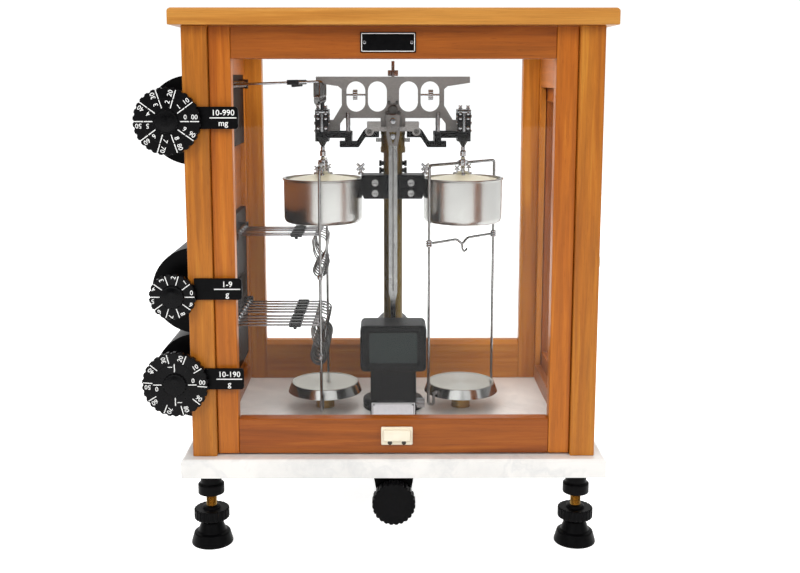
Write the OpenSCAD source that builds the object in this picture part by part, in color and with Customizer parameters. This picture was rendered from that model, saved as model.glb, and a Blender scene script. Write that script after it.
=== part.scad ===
// Analytical balance with a lifted beam, air dampers, dial-loaded ring weights and an optical scale,
// in a glazed wooden case on a marble slab. X runs to the right, Y to the back and Z up.
// Each piece is drawn about the middle of the case with the table at Z = 0, and placed() then
// moves the whole balance so that its origin is under the middle of its overall box.

/* [Case] */
// Width over the corner posts
case_w = 380; // [370:1:420]
// Depth over the corner posts
case_d = 285; // [275:1:320]
// Height of the corner posts
post_h = 401; // [396:1:440]
// Width of a corner post seen from the front
post_w = 23; // [18:1:26]
// Depth of a corner post
post_d = 30; // [24:1:34]
// Thickness of the top board
board_t = 15; // [12:1:20]
// Overhang of the slab and of the top board
overhang = 10; // [8:1:14]
// Width of the chamfer round the slab and the top board
edge_cut = 2; // [1:0.5:3]
// Thickness of every glass pane
glass_t = 2.5; // [2:0.5:3]
// Depth by which a pane enters its frame
pane_lap = 4; // [3:0.5:6]
// Gap between two pieces that slide past each other
slide_gap = 0.4; // [0.3:0.1:0.6]

/* [Slab and feet] */
// Thickness of the marble slab
slab_t = 18; // [14:1:22]
// Height of the slab above the table
foot_h = 73; // [68:1:80]
// Distance of a foot's centre from the slab's edges
foot_inset = 24; // [22:1:30]
// Diameter of the foot cup on the table
cup_d = 40; // [36:1:44]
// Diameter of the levelling wheel
wheel_d = 33.5; // [30:0.5:38]
// Diameter of the levelling screw
foot_screw_d = 10; // [8:0.5:12]
// Travel of a foot either way
foot_travel = 4; // [2:0.5:5]

/* [Front sash] */
// Thickness of the sash
sash_t = 14; // [12:1:16]
// Depth by which the sash sits behind the posts' front faces
sash_back = 4; // [3:0.5:6]
// Width of a sash stile
stile_w = 20; // [16:1:24]
// Height of the sash's top rail
sash_top_h = 29; // [24:1:34]
// Height of the sash's bottom rail
sash_low_h = 34; // [28:1:40]
// Size of the sash's tongue, which runs in the posts
tongue = 4; // [3:0.5:5]

/* [Side walls and rear] */
// Depth of the side rails in from the posts' outer faces
side_t = 21; // [20:0.5:23]
// Height of the bottom side rails
low_rail_h = 18; // [14:1:24]
// Height of the right top rail, over the door
door_head_h = 57; // [50:1:64]
// Height of the left top rail, over the lever boards
left_head_h = 43; // [38:1:43]
// Thickness of the left panel
panel_t = 6; // [5:0.5:8]
// Thickness of the sliding door
door_t = 8; // [7:0.5:9]
// Width of the door's stiles and height of its rails
door_rail = 20; // [16:1:24]
// Depth by which the door runs in its grooves
door_lap = 4; // [3:0.5:6]
// Thickness of the rear frame
rear_t = 14; // [12:1:16]
// Width of the rear frame's stiles
rear_stile_w = 19; // [15:1:24]
// Height of the rear frame's bottom rail
rear_low_h = 46; // [38:1:52]
// Height of the rear frame's top rail
rear_top_h = 25; // [20:1:32]

/* [Column] */
// Diameter of the column
column_d = 20; // [18:1:24]
// Diameter of the column's head
head_d = 26.4; // [25:0.2:28]
// Diameter of the lift rod inside the column
lift_d = 8; // [7:0.5:9]
// Diameter of the column's base flange
flange_d = 65; // [56:1:70]
// Thickness of the column's base flange
flange_t = 9; // [6:0.5:11]

/* [Beam] */
// Height of the knife edges above the slab
knife_h = 309; // [306:1:315]
// Distance of the beam's plane behind the posts' front faces
beam_back = 157; // [150:1:160]
// Length of a beam arm, from the middle knife to an end knife
arm_len = 74; // [72:0.5:76]
// Thickness of the beam
beam_t = 8; // [7:0.5:9]
// Width of the pointer
pointer_w = 9; // [7:0.5:10]

/* [Hangers and pans] */
// Diameter of a pan
pan_d = 80; // [72:1:84]
// Height of a pan's top above the slab
pan_h = 27.5; // [27:0.5:30]
// Depth of a pan's skirt
pan_depth = 10; // [8:0.5:11]
// Half-width of the left hanger, which stands along Y
left_half = 62; // [60:1:66]
// Half-width of the right hanger, which stands at 45 degrees
right_half = 52; // [49:1:56]
// Diameter of the hangers' wire
wire_d = 3; // [2.5:0.1:3.4]
// Diameter of the pan rests
rest_d = 20; // [16:1:24]

/* [Dampers] */
// Outer diameter of a damper cup
damper_d = 83; // [80:0.5:84]
// Wall of a damper cup
damper_wall = 2; // [1.5:0.25:2.5]
// Height of a damper cup
damper_h = 47.6; // [42:0.2:48]
// Gap between a damper cup and the bell that hangs in it
damper_gap = 2; // [1.75:0.25:3]

/* [Weight dials] */
// Distance of the dials' axes outside the posts
dial_out = 13; // [12.5:0.5:15]
// Radius of the milligram dial
mg_dial_r = 30.5; // [28:0.5:31]
// Radius of the gram dial
gram_dial_r = 21.6; // [20:0.2:24]
// Radius of the ten-gram dial
ten_dial_r = 30.8; // [30:0.1:32]
// Radius of the milligram and ten-gram dials' centre dials
centre_dial_r = 20.5; // [19:0.5:22]
// Radius of the knob in the middle of each dial
dial_knob_r = 11; // [9:0.5:12]
// Height of the knob in the middle of each dial
dial_knob_h = 2.5; // [2:0.1:2.6]
// Height of the milligram dial's axis above the slab
mg_dial_h = 316; // [314:1:316]
// Height of the gram dial's axis above the slab
gram_dial_h = 156; // [156:1:170]
// Height of the ten-gram dial's axis above the slab
ten_dial_h = 73; // [62:1:73]
// Length of the dials' housings
housing_l = 200; // [180:1:205]
// Radius of the dials' housings
housing_r = 41; // [39:0.5:41]
// Radius of the hollow shaft of an outer dial
dial_shaft_r = 5; // [4.5:0.1:5.5]
// Radius of the shaft of a centre dial
centre_shaft_r = 3; // [2.6:0.1:3.4]

/* [Ring weights] */
// Number of milligram levers
mg_count = 8; // [4:1:8]
// Number of gram levers
gram_count = 5; // [3:1:7]
// Number of ten-gram levers
ten_count = 9; // [5:1:9]
// Distance between two neighbouring levers
lever_pitch = 13.5; // [12:0.5:13.5]
// Inner radius of a ten-gram ring
ten_ring_r = 7.5; // [7.5:0.1:8.5]
// Inner radius of a gram ring
gram_ring_r = 6.2; // [6.2:0.1:7]
// Inner radius of a milligram ring
mg_ring_r = 4.5; // [4.5:0.1:5]

/* [Optical screen] */
// Width of the screen housing
screen_w = 67; // [60:1:72]
// Height of the screen housing
screen_h = 48; // [44:1:54]
// Depth of the screen housing
screen_depth = 38; // [30:1:42]
// Width of the screen window
window_w = 48; // [40:1:50]
// Height of the screen window
window_h = 31.5; // [26:0.5:34]
// Width of the screen's stand
stand_w = 46.5; // [42:0.5:50]
// Diameter of the lamp barrel
lamp_d = 40; // [34:1:44]

/* [Arrestment] */
// Diameter of the arrestment knob
knob_d = 41; // [36:1:44]
// Drop of the knob's axis below the slab
knob_drop = 25; // [23:1:30]
// Travel of the lift rod and the pan rests
lift_travel = 3.5; // [3:0.5:4]

/* [Hidden] */
$fn = 48;

// Case planes
slab_w = case_w + 2 * overhang;
slab_d = case_d + 2 * overhang;
floor_z = foot_h + slab_t;
roof_z = floor_z + post_h;
out_x = case_w / 2;
in_x = out_x - post_w;
wall_x = out_x - side_t;
front_y = -case_d / 2;
rear_y = case_d / 2;
bay_y = front_y + post_d;
eps = 0.1;

// Sash planes
sash_y = front_y + sash_back;
sash_x = in_x - slide_gap;
sash_z0 = floor_z + 1.5;
sash_z1 = roof_z - 0.5;
plate_t = 1.2;

// Door planes
door_x = out_x - 5.5 - door_t;
door_y0 = bay_y + 0.3;
door_y1 = rear_y - 7.5;
door_z0 = floor_z + low_rail_h - door_lap;
door_z1 = roof_z - door_head_h + door_lap;
rear_in_y = rear_y - 7 - rear_t;

// Beam plane, heights above the knife edges and column
beam_y = front_y + beam_back;
knife_z = floor_z + knife_h;
head_z = knife_z - 9;
head_h = 23;
pivot_x = 24.5;
pivot_z = knife_z - 9.7;
pin_r = 2.5;
fit = 0.05;
cheek_y0 = beam_t / 2 + 3.5;
cheek_t = 3;
pointer_y = head_d / 2 + 1.8;

// Hangers, pans and dampers
stem_r = 2;
hang_z = knife_z - 43;
pan_t = 2;
pan_top_z = floor_z + pan_h;
pan_low_z = pan_top_z - pan_depth;
rest_top_z = pan_top_z - pan_t - 1.6;
lug_r = pan_d / 2 + 3.5;
cup_z0 = knife_z - 106;
cup_z1 = cup_z0 + damper_h;
bell_r = damper_d / 2 - damper_wall - damper_gap;
bell_lid_z = cup_z1 - 3.6;
rim_bead = 1.5;
knee_z = pan_low_z - 3.5;

// Dials and housings
dial_x = -(out_x + dial_out);
housing_x = -(out_x - 3);
housing_y = bay_y - 8.5;
housing_wall = 2.5;
dial_y1 = front_y - 3.7;
dial_y0 = dial_y1 - 5.8;
recess_x = -(out_x - 9);
panel_x = recess_x + panel_t;
mg_z = floor_z + mg_dial_h;
gram_z = floor_z + gram_dial_h;
ten_z = floor_z + ten_dial_h;

// Levers, their shafts and racks
lever_x = -(wall_x - 6);
lever_shaft_r = 1.5;
rod_extra = 0.3;
rack_r = 1.5;
mg_rack_r = 1;
mg_lever_z = knife_z + 39;
gram_rack_z = floor_z + 155;
ten_rack_z = floor_z + 72;
gram_lever_z = gram_rack_z + 38;
ten_lever_z = ten_rack_z + 32;
mg_rack_z = knife_z + 21.5;
ring_rise = 5.5;

// Lift gear under the slab
knob_z = foot_h - knob_drop;
knob_y = front_y - 13;
bar_z = foot_h - 11;
bar_h = 6;

// Screen
screen_y = front_y + 74;
screen_z = floor_z + 61;
stand_y = screen_y + 6.5;

// Overall box
centre_x = (dial_x - ten_dial_r + slab_w / 2) / 2;
centre_y = (knob_y + slab_d / 2) / 2;

module placed() translate([-centre_x, -centre_y, 0]) children();

// A block between two corners
module block(x0, x1, y0, y1, z0, z1) translate([x0, y0, z0]) cube([x1 - x0, y1 - y0, z1 - z0]);

// A round bar between two points
module bar(a, b, d) {
    v = b - a;
    l = norm(v);
    translate(a)
        rotate([0, acos(v[2] / l), atan2(v[1], v[0])])
            cylinder(h = l, d = d);
}

// A wire through points in the X-Z plane, with a short drum along Y at each corner
module wire(points, d) {
    last = len(points) - 1;
    for (i = [1:last])
        bar(points[i - 1], points[i], d);
    for (i = [1:last - 1])
        knuckle(points[i], d);
}
module knuckle(p, d) translate(p) rotate([90, 0, 0]) cylinder(h = 1.16 * d, d = 1.16 * d, center = true);

// Round pieces that point along Y or X
module along_y(x, z, y0, y1, r) translate([x, y0, z]) rotate([-90, 0, 0]) cylinder(h = y1 - y0, r = r);
module along_x(y, z, x0, x1, r) translate([x0, y, z]) rotate([0, 90, 0]) cylinder(h = x1 - x0, r = r);
module upright(x, y, z0, z1, r) translate([x, y, z0]) cylinder(h = z1 - z0, r = r);

module both_sides() {
    children();
    mirror([1, 0, 0]) children();
}

// An outline in X and Z, made thick along Y
module cut_plate(y0, y1) translate([0, y1, 0]) rotate([90, 0, 0]) linear_extrude(y1 - y0) children();

// A board with its top edges cut off at 45 degrees
function board_outline(w, h, c) =
    [[-w / 2, 0], [w / 2, 0], [w / 2, h - c], [w / 2 - c, h], [-w / 2 + c, h], [-w / 2, h - c]];
module board(w, d, h, c) {
    intersection() {
        rotate([90, 0, 0]) linear_extrude(d, center = true) polygon(board_outline(w, h, c));
        rotate([90, 0, 90]) linear_extrude(w, center = true) polygon(board_outline(d, h, c));
    }
}

// A disc with a fluted rim, its axis up
module fluted(r, h, flutes, flute_r) {
    difference() {
        cylinder(h = h, r = r);
        for (i = [0:flutes - 1])
            rotate(i * 360 / flutes)
                translate([r + 0.35 * flute_r, 0, -1])
                    cylinder(h = h + 2, r = flute_r);
    }
}

module base_slab() color("whitesmoke") placed()
    difference() {
        translate([0, 0, foot_h]) board(slab_w, slab_d, slab_t, edge_cut);
        both_sides() upright(arm_len, beam_y, foot_h - 1, floor_z + 1, rest_d / 2 + slide_gap);
        upright(0, beam_y, foot_h - 1, floor_z + 1, lift_d / 2 + slide_gap);
    }

module top_board() color("burlywood") placed()
    difference() {
        translate([0, 0, roof_z]) board(slab_w, slab_d, board_t, edge_cut);
        block(-sash_x - tongue - 1.4, sash_x + tongue + 1.4,
              sash_y - plate_t - 1.5, sash_y + sash_t + 1, roof_z - 1, roof_z + board_t + 1);
    }

module corner_posts() color("peru") placed() {
    both_sides()
        difference() {
            block(in_x, out_x, front_y, bay_y, floor_z, roof_z);
            block(in_x - 1, sash_x + tongue + slide_gap,
                  sash_y + sash_t / 2 - tongue / 2 - slide_gap, sash_y + sash_t / 2 + tongue / 2 + slide_gap,
                  floor_z - 1, roof_z + 1);
        }
    block(-out_x, -wall_x, rear_y - post_d, rear_y, floor_z, roof_z);
    block(wall_x, door_x - slide_gap - 0.5, rear_y - post_d, rear_y, floor_z, roof_z);
}

module rear_frame() color("peru") placed() {
    open_x = wall_x - rear_stile_w;
    pane_y = rear_in_y + rear_t / 2;
    low_z = floor_z + rear_low_h;
    difference() {
        union() {
            both_sides() block(open_x, wall_x, rear_in_y, rear_in_y + rear_t, floor_z, roof_z);
            translate([-open_x, 0, 0])
                rotate([90, 0, 90])
                    linear_extrude(2 * open_x)
                        polygon([[rear_in_y, floor_z], [rear_in_y + rear_t, floor_z],
                                 [rear_in_y + rear_t, low_z], [rear_in_y + 5, low_z],
                                 [rear_in_y, low_z - 5]]);
            block(-open_x, open_x, rear_in_y, rear_in_y + rear_t, roof_z - rear_top_h, roof_z);
        }
        block(-open_x - pane_lap - eps, open_x + pane_lap + eps,
              pane_y - glass_t / 2 - eps, pane_y + glass_t / 2 + eps,
              low_z - pane_lap - eps, roof_z - rear_top_h + pane_lap + eps);
    }
}

module side_rails() color("peru") placed() {
    head_left = roof_z - left_head_h;
    head_right = roof_z - door_head_h;
    low_top = floor_z + low_rail_h;
    block(-out_x, -wall_x, bay_y, rear_y - post_d, floor_z, low_top);
    block(-out_x, -wall_x, bay_y, rear_y - post_d, head_left, roof_z);
    block(recess_x, panel_x, bay_y, rear_y - post_d, low_top, head_left);
    difference() {
        union() {
            block(wall_x, out_x, bay_y, rear_y, floor_z, low_top);
            block(wall_x, out_x, bay_y, rear_y, head_right, roof_z);
        }
        block(wall_x - 1, door_x - slide_gap - 0.5, rear_y - post_d, rear_y + 1, floor_z - 1, roof_z + 1);
        block(door_x - slide_gap, door_x + door_t + slide_gap, bay_y - 1, rear_y + 1,
              door_z0 - slide_gap, door_z1 + slide_gap);
    }
}

module rear_pane() color("lightcyan", 0.3) placed() {
    open_x = wall_x - rear_stile_w + pane_lap;
    pane_y = rear_in_y + rear_t / 2;
    block(-open_x, open_x, pane_y - glass_t / 2, pane_y + glass_t / 2,
          floor_z + rear_low_h - pane_lap, roof_z - rear_top_h + pane_lap);
}

// The span in Y of a row of levers about the beam's plane
function row_half(count) = (count - 1) * lever_pitch / 2;

module lever_shaft(count, z) {
    ear_y = row_half(count) + 9;
    for (side = [-1, 1])
        block(-wall_x, lever_x + 4, beam_y + side * ear_y - 2, beam_y + side * ear_y + 2, z - 5, z + 5);
    along_y(lever_x, z, beam_y - ear_y, beam_y + ear_y, lever_shaft_r);
}

module lever_boards() color("dimgray") placed() {
    head_left = roof_z - left_head_h;
    y0 = bay_y + 12;
    y1 = rear_y - post_d - 7;
    block(panel_x, -wall_x, y0, y1, mg_lever_z - 66, head_left);
    block(panel_x, -wall_x, y0, y1, gram_lever_z - 56, gram_lever_z + 16);
    block(panel_x, -wall_x, y0, y1, ten_lever_z - 67, gram_lever_z - 57);
    lever_shaft(mg_count, mg_lever_z);
    lever_shaft(gram_count, gram_lever_z);
    lever_shaft(ten_count, ten_lever_z);
}

// A half-drum on the outside of the left wall, open towards the wall
module housing(z) {
    half = sqrt(housing_r * housing_r - (out_x + housing_x) * (out_x + housing_x));
    inner = housing_r - housing_wall;
    difference() {
        union() {
            intersection() {
                along_y(housing_x, z, housing_y, housing_y + housing_l, housing_r);
                block(-out_x - 100, -out_x, housing_y - 1, housing_y + housing_l + 1, z - 60, z + 60);
            }
            block(-out_x, recess_x, bay_y + 0.2, housing_y + housing_l, z - half, z + half);
        }
        intersection() {
            along_y(housing_x, z, housing_y + 3, housing_y + housing_l - 3, inner);
            block(-out_x - 100, -out_x, housing_y, housing_y + housing_l, z - 60, z + 60);
        }
        block(-out_x - 0.5, recess_x + 1, bay_y + 3, housing_y + housing_l - 3,
              z - half + housing_wall, z + half - housing_wall);
        along_y(dial_x, z, housing_y - 1, housing_y + 4, dial_shaft_r + fit);
        along_y(dial_x, z, housing_y + housing_l - 4, housing_y + housing_l + 1, centre_shaft_r + fit);
    }
}

module dial_housings() color("black") placed() {
    housing(mg_z);
    housing(gram_z);
    housing(ten_z);
}

module index_tabs() color("black") placed() {
    tab_h = 20;
    tab_t = 3;
    tab_x0 = -out_x + 6;
    tab_x1 = -out_x + 50;
    for (z = [mg_z + 3, gram_z + 6, ten_z + 3.5])
        block(tab_x0, tab_x1, front_y - tab_t, front_y, z - tab_h / 2, z + tab_h / 2);
}

module column_tube() color("darkolivegreen") placed()
    difference() {
        union() {
            upright(0, beam_y, floor_z, head_z - head_h, column_d / 2);
            upright(0, beam_y, floor_z, floor_z + flange_t, flange_d / 2);
            translate([0, beam_y, floor_z + flange_t])
                cylinder(h = 2, r1 = flange_d / 2 - 3, r2 = column_d / 2 + 6);
        }
        upright(0, beam_y, floor_z - 1, head_z, lift_d / 2 + fit);
    }

module column_head() color("darkkhaki") placed() {
    slot_y = beam_t / 2 + 0.6;
    post_y = cheek_y0;
    top_z = knife_z - 0.1;
    difference() {
        upright(0, beam_y, head_z - head_h, head_z, head_d / 2);
        block(-head_d, head_d, beam_y - slot_y, beam_y + slot_y, head_z - 17, head_z + 1);
        upright(0, beam_y, head_z - head_h - 1, head_z, lift_d / 2 + fit);
    }
    for (side = [-1, 1]) {
        y_a = beam_y + side * post_y;
        y_b = beam_y + side * (post_y + cheek_t);
        y0 = min(y_a, y_b);
        y1 = max(y_a, y_b);
        cut_plate(y0, y1)
            union() {
                translate([-27.2, head_z - 0.5]) square([54.4, 4.5]);
                translate([-5, head_z]) square([10, top_z - head_z]);
                for (x = [-27.2, 12.6])
                    translate([x, head_z]) square([14.6, 9]);
                for (x = [-pivot_x, pivot_x])
                    translate([x, pivot_z]) circle(r = 4.5);
            }
    }
    for (x = [-pivot_x, pivot_x])
        along_y(x, pivot_z, beam_y - cheek_y0 - cheek_t - 1.5, beam_y + cheek_y0 + cheek_t + 1.5, pin_r);
}

bracket_z0 = cup_z0 + 26;
bracket_z1 = cup_z0 + 51;
bracket_x = arm_len - damper_d / 2 + 4;
bracket_y = 14;
level_y = beam_y + bracket_y + 9;

module damper_bracket() color("black") placed()
    difference() {
        union() {
            cut_plate(beam_y - bracket_y, beam_y + bracket_y)
                polygon([[-bracket_x, bracket_z1], [-bracket_x, bracket_z1 - 9], [6 - bracket_x, bracket_z0],
                         [bracket_x - 6, bracket_z0], [bracket_x, bracket_z1 - 9], [bracket_x, bracket_z1]]);
            block(-9, 9, beam_y + bracket_y - 1, level_y + 8.5, bracket_z1 - 4, bracket_z1);
        }
        upright(0, beam_y, bracket_z0 - 1, bracket_z1 + 1, column_d / 2 + fit);
        both_sides() {
            upright(arm_len, beam_y, bracket_z0 - 1, bracket_z1 + 1, damper_d / 2 + fit);
            upright(arm_len, beam_y, cup_z1 - 2.2, bracket_z1 + 1, damper_d / 2 + rim_bead + fit);
        }
    }

module bracket_screws() color("silver") placed() {
    head_r = 3.65;
    head_t = 1.4;
    for (x = [-18.8, 18.8])
        for (z = [bracket_z0 + 6, bracket_z0 + 17])
            difference() {
                along_y(x, z, beam_y - bracket_y - head_t, beam_y - bracket_y, head_r);
                block(x - head_r, x + head_r, beam_y - bracket_y - head_t - 1,
                      beam_y - bracket_y - head_t + 0.7, z - 0.5, z + 0.5);
            }
}

module damper_cup() {
    r = damper_d / 2;
    translate([arm_len, beam_y, cup_z0])
        rotate_extrude()
            polygon([[0, 0], [r - 5, 0], [r - 1.5, 1.5], [r, 5], [r, damper_h - 2],
                     [r + rim_bead, damper_h - 2], [r + rim_bead, damper_h], [r - damper_wall, damper_h], [r - damper_wall, 5],
                     [r - 6, damper_wall], [0, damper_wall]]);
}
module damper_cups() color("lightgray") placed() {
    damper_cup();
    mirror([1, 0, 0]) damper_cup();
}

module bubble_level() color("black") placed() {
    r = 8;
    difference() {
        upright(0, level_y, bracket_z1, bracket_z1 + 11, r);
        upright(0, level_y, bracket_z1 + 8, bracket_z1 + 12, r - 1.8);
    }
}

module knob_bracket() color("black") placed() {
    difference() {
        union() {
            cut_plate(front_y + 6, front_y + 20)
                polygon([[-20, foot_h], [20, foot_h], [14, knob_z - 9], [-14, knob_z - 9]]);
            block(-11, 11, beam_y - 26, beam_y - 14, knob_z - 9, foot_h);
        }
        along_y(0, knob_z, front_y, beam_y, 4 + fit);
    }
}

foot_x = slab_w / 2 - foot_inset;
foot_y = -slab_d / 2 + foot_inset;
socket_h = 23;

// A socket under the slab, bored for the levelling screw
module foot_socket(x, y) {
    difference() {
        union() {
            upright(x, y, foot_h - 13, foot_h, 10);
            upright(x, y, foot_h - socket_h, foot_h - 13, 12.5);
        }
        upright(x, y, foot_h - socket_h - 1, foot_h - 0.5, foot_screw_d / 2 + fit);
    }
}
module foot_sockets() color("dimgray") placed() {
    both_sides() foot_socket(foot_x, foot_y);
    upright(0, -foot_y, foot_h - 14, foot_h, 11);
    translate([0, -foot_y, 12]) cylinder(h = foot_h - 26, r1 = 13, r2 = 9);
    translate([0, -foot_y, 0]) cylinder(h = 12, r1 = cup_d / 2, r2 = cup_d / 2 - 3);
}

module lamp_housing() color("black") placed() {
    z = screen_z + 8;
    y0 = beam_y + column_d / 2 + 13;
    y1 = y0 + 58;
    difference() {
        union() {
            along_y(0, z, y0, y1, lamp_d / 2);
            along_y(0, z, y0 - 11, y0, lamp_d / 4);
            along_y(0, z, y1, y1 + 6, 7);
            block(-9, 9, y0 + 12, y0 + 40, floor_z + 6, z - lamp_d / 2 + 3);
            block(-20, 20, beam_y + flange_d / 2 + 2, y0 + 46, floor_z, floor_z + 6);
        }
        along_y(0, z, y1 - 4, y1 + 7, 4.5);
        along_y(0, z, y0 - 12, y0 + 4, lamp_d / 4 - 3);
    }
}

module screen_housing() color("black") placed() {
    z_mid = screen_z + screen_h / 2;
    difference() {
        union() {
            block(-screen_w / 2, screen_w / 2, screen_y + 2, screen_y + screen_depth,
                  screen_z, screen_z + screen_h);
            translate([0, screen_y + 2, z_mid])
                rotate([90, 0, 0])
                    linear_extrude(2)
                        square([screen_w - 5, screen_h - 5], center = true);
            translate([-stand_w / 2, 0, 0])
                rotate([90, 0, 90])
                    linear_extrude(stand_w)
                        polygon([[stand_y - 22, floor_z], [stand_y, floor_z + 30], [stand_y, screen_z],
                                 [screen_y + screen_depth - 4, screen_z],
                                 [screen_y + screen_depth - 4, floor_z]]);
        }
        block(-window_w / 2 - 2.5, window_w / 2 + 2.5, screen_y + 3, screen_y + 6,
              z_mid - window_h / 2 - 1, z_mid + window_h / 2 + 1);
        block(-window_w / 2, window_w / 2, screen_y - 1, screen_y + 4,
              z_mid - window_h / 2, z_mid + window_h / 2);
        block(-window_w / 2 + 4, window_w / 2 - 4, screen_y + 5, screen_y + screen_depth + 1,
              z_mid - window_h / 2 + 4, z_mid + window_h / 2 - 4);
        along_x(stand_y + 10, floor_z + 24, 0, stand_w, 2.5 + fit);
    }
    along_x(stand_y + 10, floor_z + 24, -stand_w / 2 - 6, -stand_w / 2, 4);
}

module data_plate() color("silver") placed() {
    slope = atan2(30, 22);
    translate([0, stand_y - 22, floor_z])
        rotate([slope, 0, 0])
            translate([-22, 3, 0])
                cube([44, 31, 0.8]);
}

module sash_frame() color("chocolate") placed() {
    open_x = sash_x - stile_w;
    y1 = sash_y + sash_t;
    mid_y = sash_y + sash_t / 2;
    difference() {
        union() {
            both_sides() {
                block(open_x, sash_x, sash_y, y1, sash_z0, sash_z1);
                block(sash_x, sash_x + tongue, mid_y - tongue / 2, mid_y + tongue / 2, sash_z0, sash_z1);
            }
            block(-open_x, open_x, sash_y, y1, sash_z0, sash_z0 + sash_low_h);
            block(-open_x, open_x, sash_y, y1, sash_z1 - sash_top_h, sash_z1);
        }
        block(-open_x - pane_lap - eps, open_x + pane_lap + eps,
              mid_y - glass_t / 2 - eps, mid_y + glass_t / 2 + eps,
              sash_z0 + sash_low_h - pane_lap - eps, sash_z1 - sash_top_h + pane_lap + eps);
    }
}

module sash_pane() color("lightcyan", 0.3) placed() {
    open_x = sash_x - stile_w + pane_lap;
    mid_y = sash_y + sash_t / 2;
    block(-open_x, open_x, mid_y - glass_t / 2, mid_y + glass_t / 2,
          sash_z0 + sash_low_h - pane_lap, sash_z1 - sash_top_h + pane_lap);
}

module sash_pull() color("cornsilk") placed() {
    z = sash_z0 + sash_low_h / 2 + 1;
    cut_plate(sash_y - 4, sash_y)
        translate([3, z]) square([30, 17.5], center = true);
    cut_plate(sash_y - 10, sash_y - 4)
        translate([3, z + 2]) square([26, 11], center = true);
}

module name_plate() color("black") placed()
    cut_plate(sash_y - plate_t, sash_y)
        translate([-5, sash_z1 - sash_top_h / 2]) square([50, 18], center = true);

module door_frame() color("chocolate") placed() {
    x1 = door_x + door_t;
    mid_x = door_x + door_t / 2;
    difference() {
        union() {
            block(door_x, x1, door_y0, door_y0 + door_rail, door_z0, door_z1);
            block(door_x, x1, door_y1 - door_rail, door_y1, door_z0, door_z1);
            block(door_x, x1, door_y0, door_y1, door_z0, door_z0 + door_rail);
            block(door_x, x1, door_y0, door_y1, door_z1 - door_rail, door_z1);
        }
        block(mid_x - glass_t / 2 - eps, mid_x + glass_t / 2 + eps,
              door_y0 + door_rail - pane_lap - eps, door_y1 - door_rail + pane_lap + eps,
              door_z0 + door_rail - pane_lap - eps, door_z1 - door_rail + pane_lap + eps);
    }
}

module door_pane() color("lightcyan", 0.3) placed() {
    mid_x = door_x + door_t / 2;
    block(mid_x - glass_t / 2, mid_x + glass_t / 2,
          door_y0 + door_rail - pane_lap, door_y1 - door_rail + pane_lap,
          door_z0 + door_rail - pane_lap, door_z1 - door_rail + pane_lap);
}

module door_knob() color("cornsilk") placed() {
    y = door_y0 + door_rail / 2;
    z = floor_z + post_h / 2 - 20;
    x = door_x + door_t;
    along_x(y, z, x, x + 8, 3);
    along_x(y, z, x + 8, x + 14, 7);
}

module arrest_knob() color("black") placed() {
    translate([0, knob_y, knob_z])
        rotate([-90, 0, 0])
            fluted(knob_d / 2, 12, 24, 1.6);
    along_y(0, knob_z, knob_y + 12, beam_y + 8, 4);
    along_y(0, knob_z + lift_travel, beam_y - 5, beam_y + 5, 9.5);
}

module lift_rod() color("silver") placed() {
    upright(0, beam_y, bar_z + bar_h, head_z - 8, lift_d / 2);
    block(-18, 18, beam_y - 2.5, beam_y + 2.5, head_z - 12, head_z - 8);
    block(-arm_len - rest_d / 2, arm_len + rest_d / 2, beam_y - 8, beam_y + 8, bar_z, bar_z + bar_h);
}

module pan_rests() color("goldenrod") placed()
    both_sides() upright(arm_len, beam_y, bar_z + bar_h, rest_top_z, rest_d / 2);

// The arrestment arm of the right side, with its lifting cone and the prongs beside the stirrup
module arm() {
    z = knife_z;
    half = beam_t / 2 + 2.4;
    prong_y = 14;
    difference() {
        cut_plate(beam_y - half, beam_y + half)
            polygon([[14.5, z - 16], [29, z - 16], [36, z - 26.4], [56, z - 26.4], [56, z - 20],
                     [38, z - 20], [31, z - 9], [28, z - 6.5], [20, z - 6.5], [14.5, z - 9]]);
        along_y(pivot_x, pivot_z, beam_y - 10, beam_y + 10, pin_r + fit);
    }
    block(43, 50, beam_y - prong_y - 4, beam_y + prong_y + 4, z - 20, z - 14);
    for (side = [-1, 1]) {
        y = beam_y + side * (prong_y + 2);
        block(43, arm_len + 5.5, y - 2, y + 2, z - 16, z - 10);
        upright(47, beam_y + side * 9, z - 15, z + 10, 2);
    }
    translate([47, beam_y, z - 15]) cylinder(h = 18.18, r1 = 3, r2 = 1.2);
}
module right_arm() color("black") placed() arm();
module left_arm() color("black") placed() mirror([1, 0, 0]) arm();

// The middle knife points down and the end knives point up
module middle_knife(y_half) {
    cut_plate(beam_y - y_half, beam_y + y_half)
        polygon([[0, knife_z], [3.5, knife_z + 6], [-3.5, knife_z + 6]]);
}
module end_knife() {
    cut_plate(beam_y - 9, beam_y + 9)
        polygon([[arm_len, knife_z], [arm_len - 3.5, knife_z - 5.5], [arm_len + 3.5, knife_z - 5.5]]);
}

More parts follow.
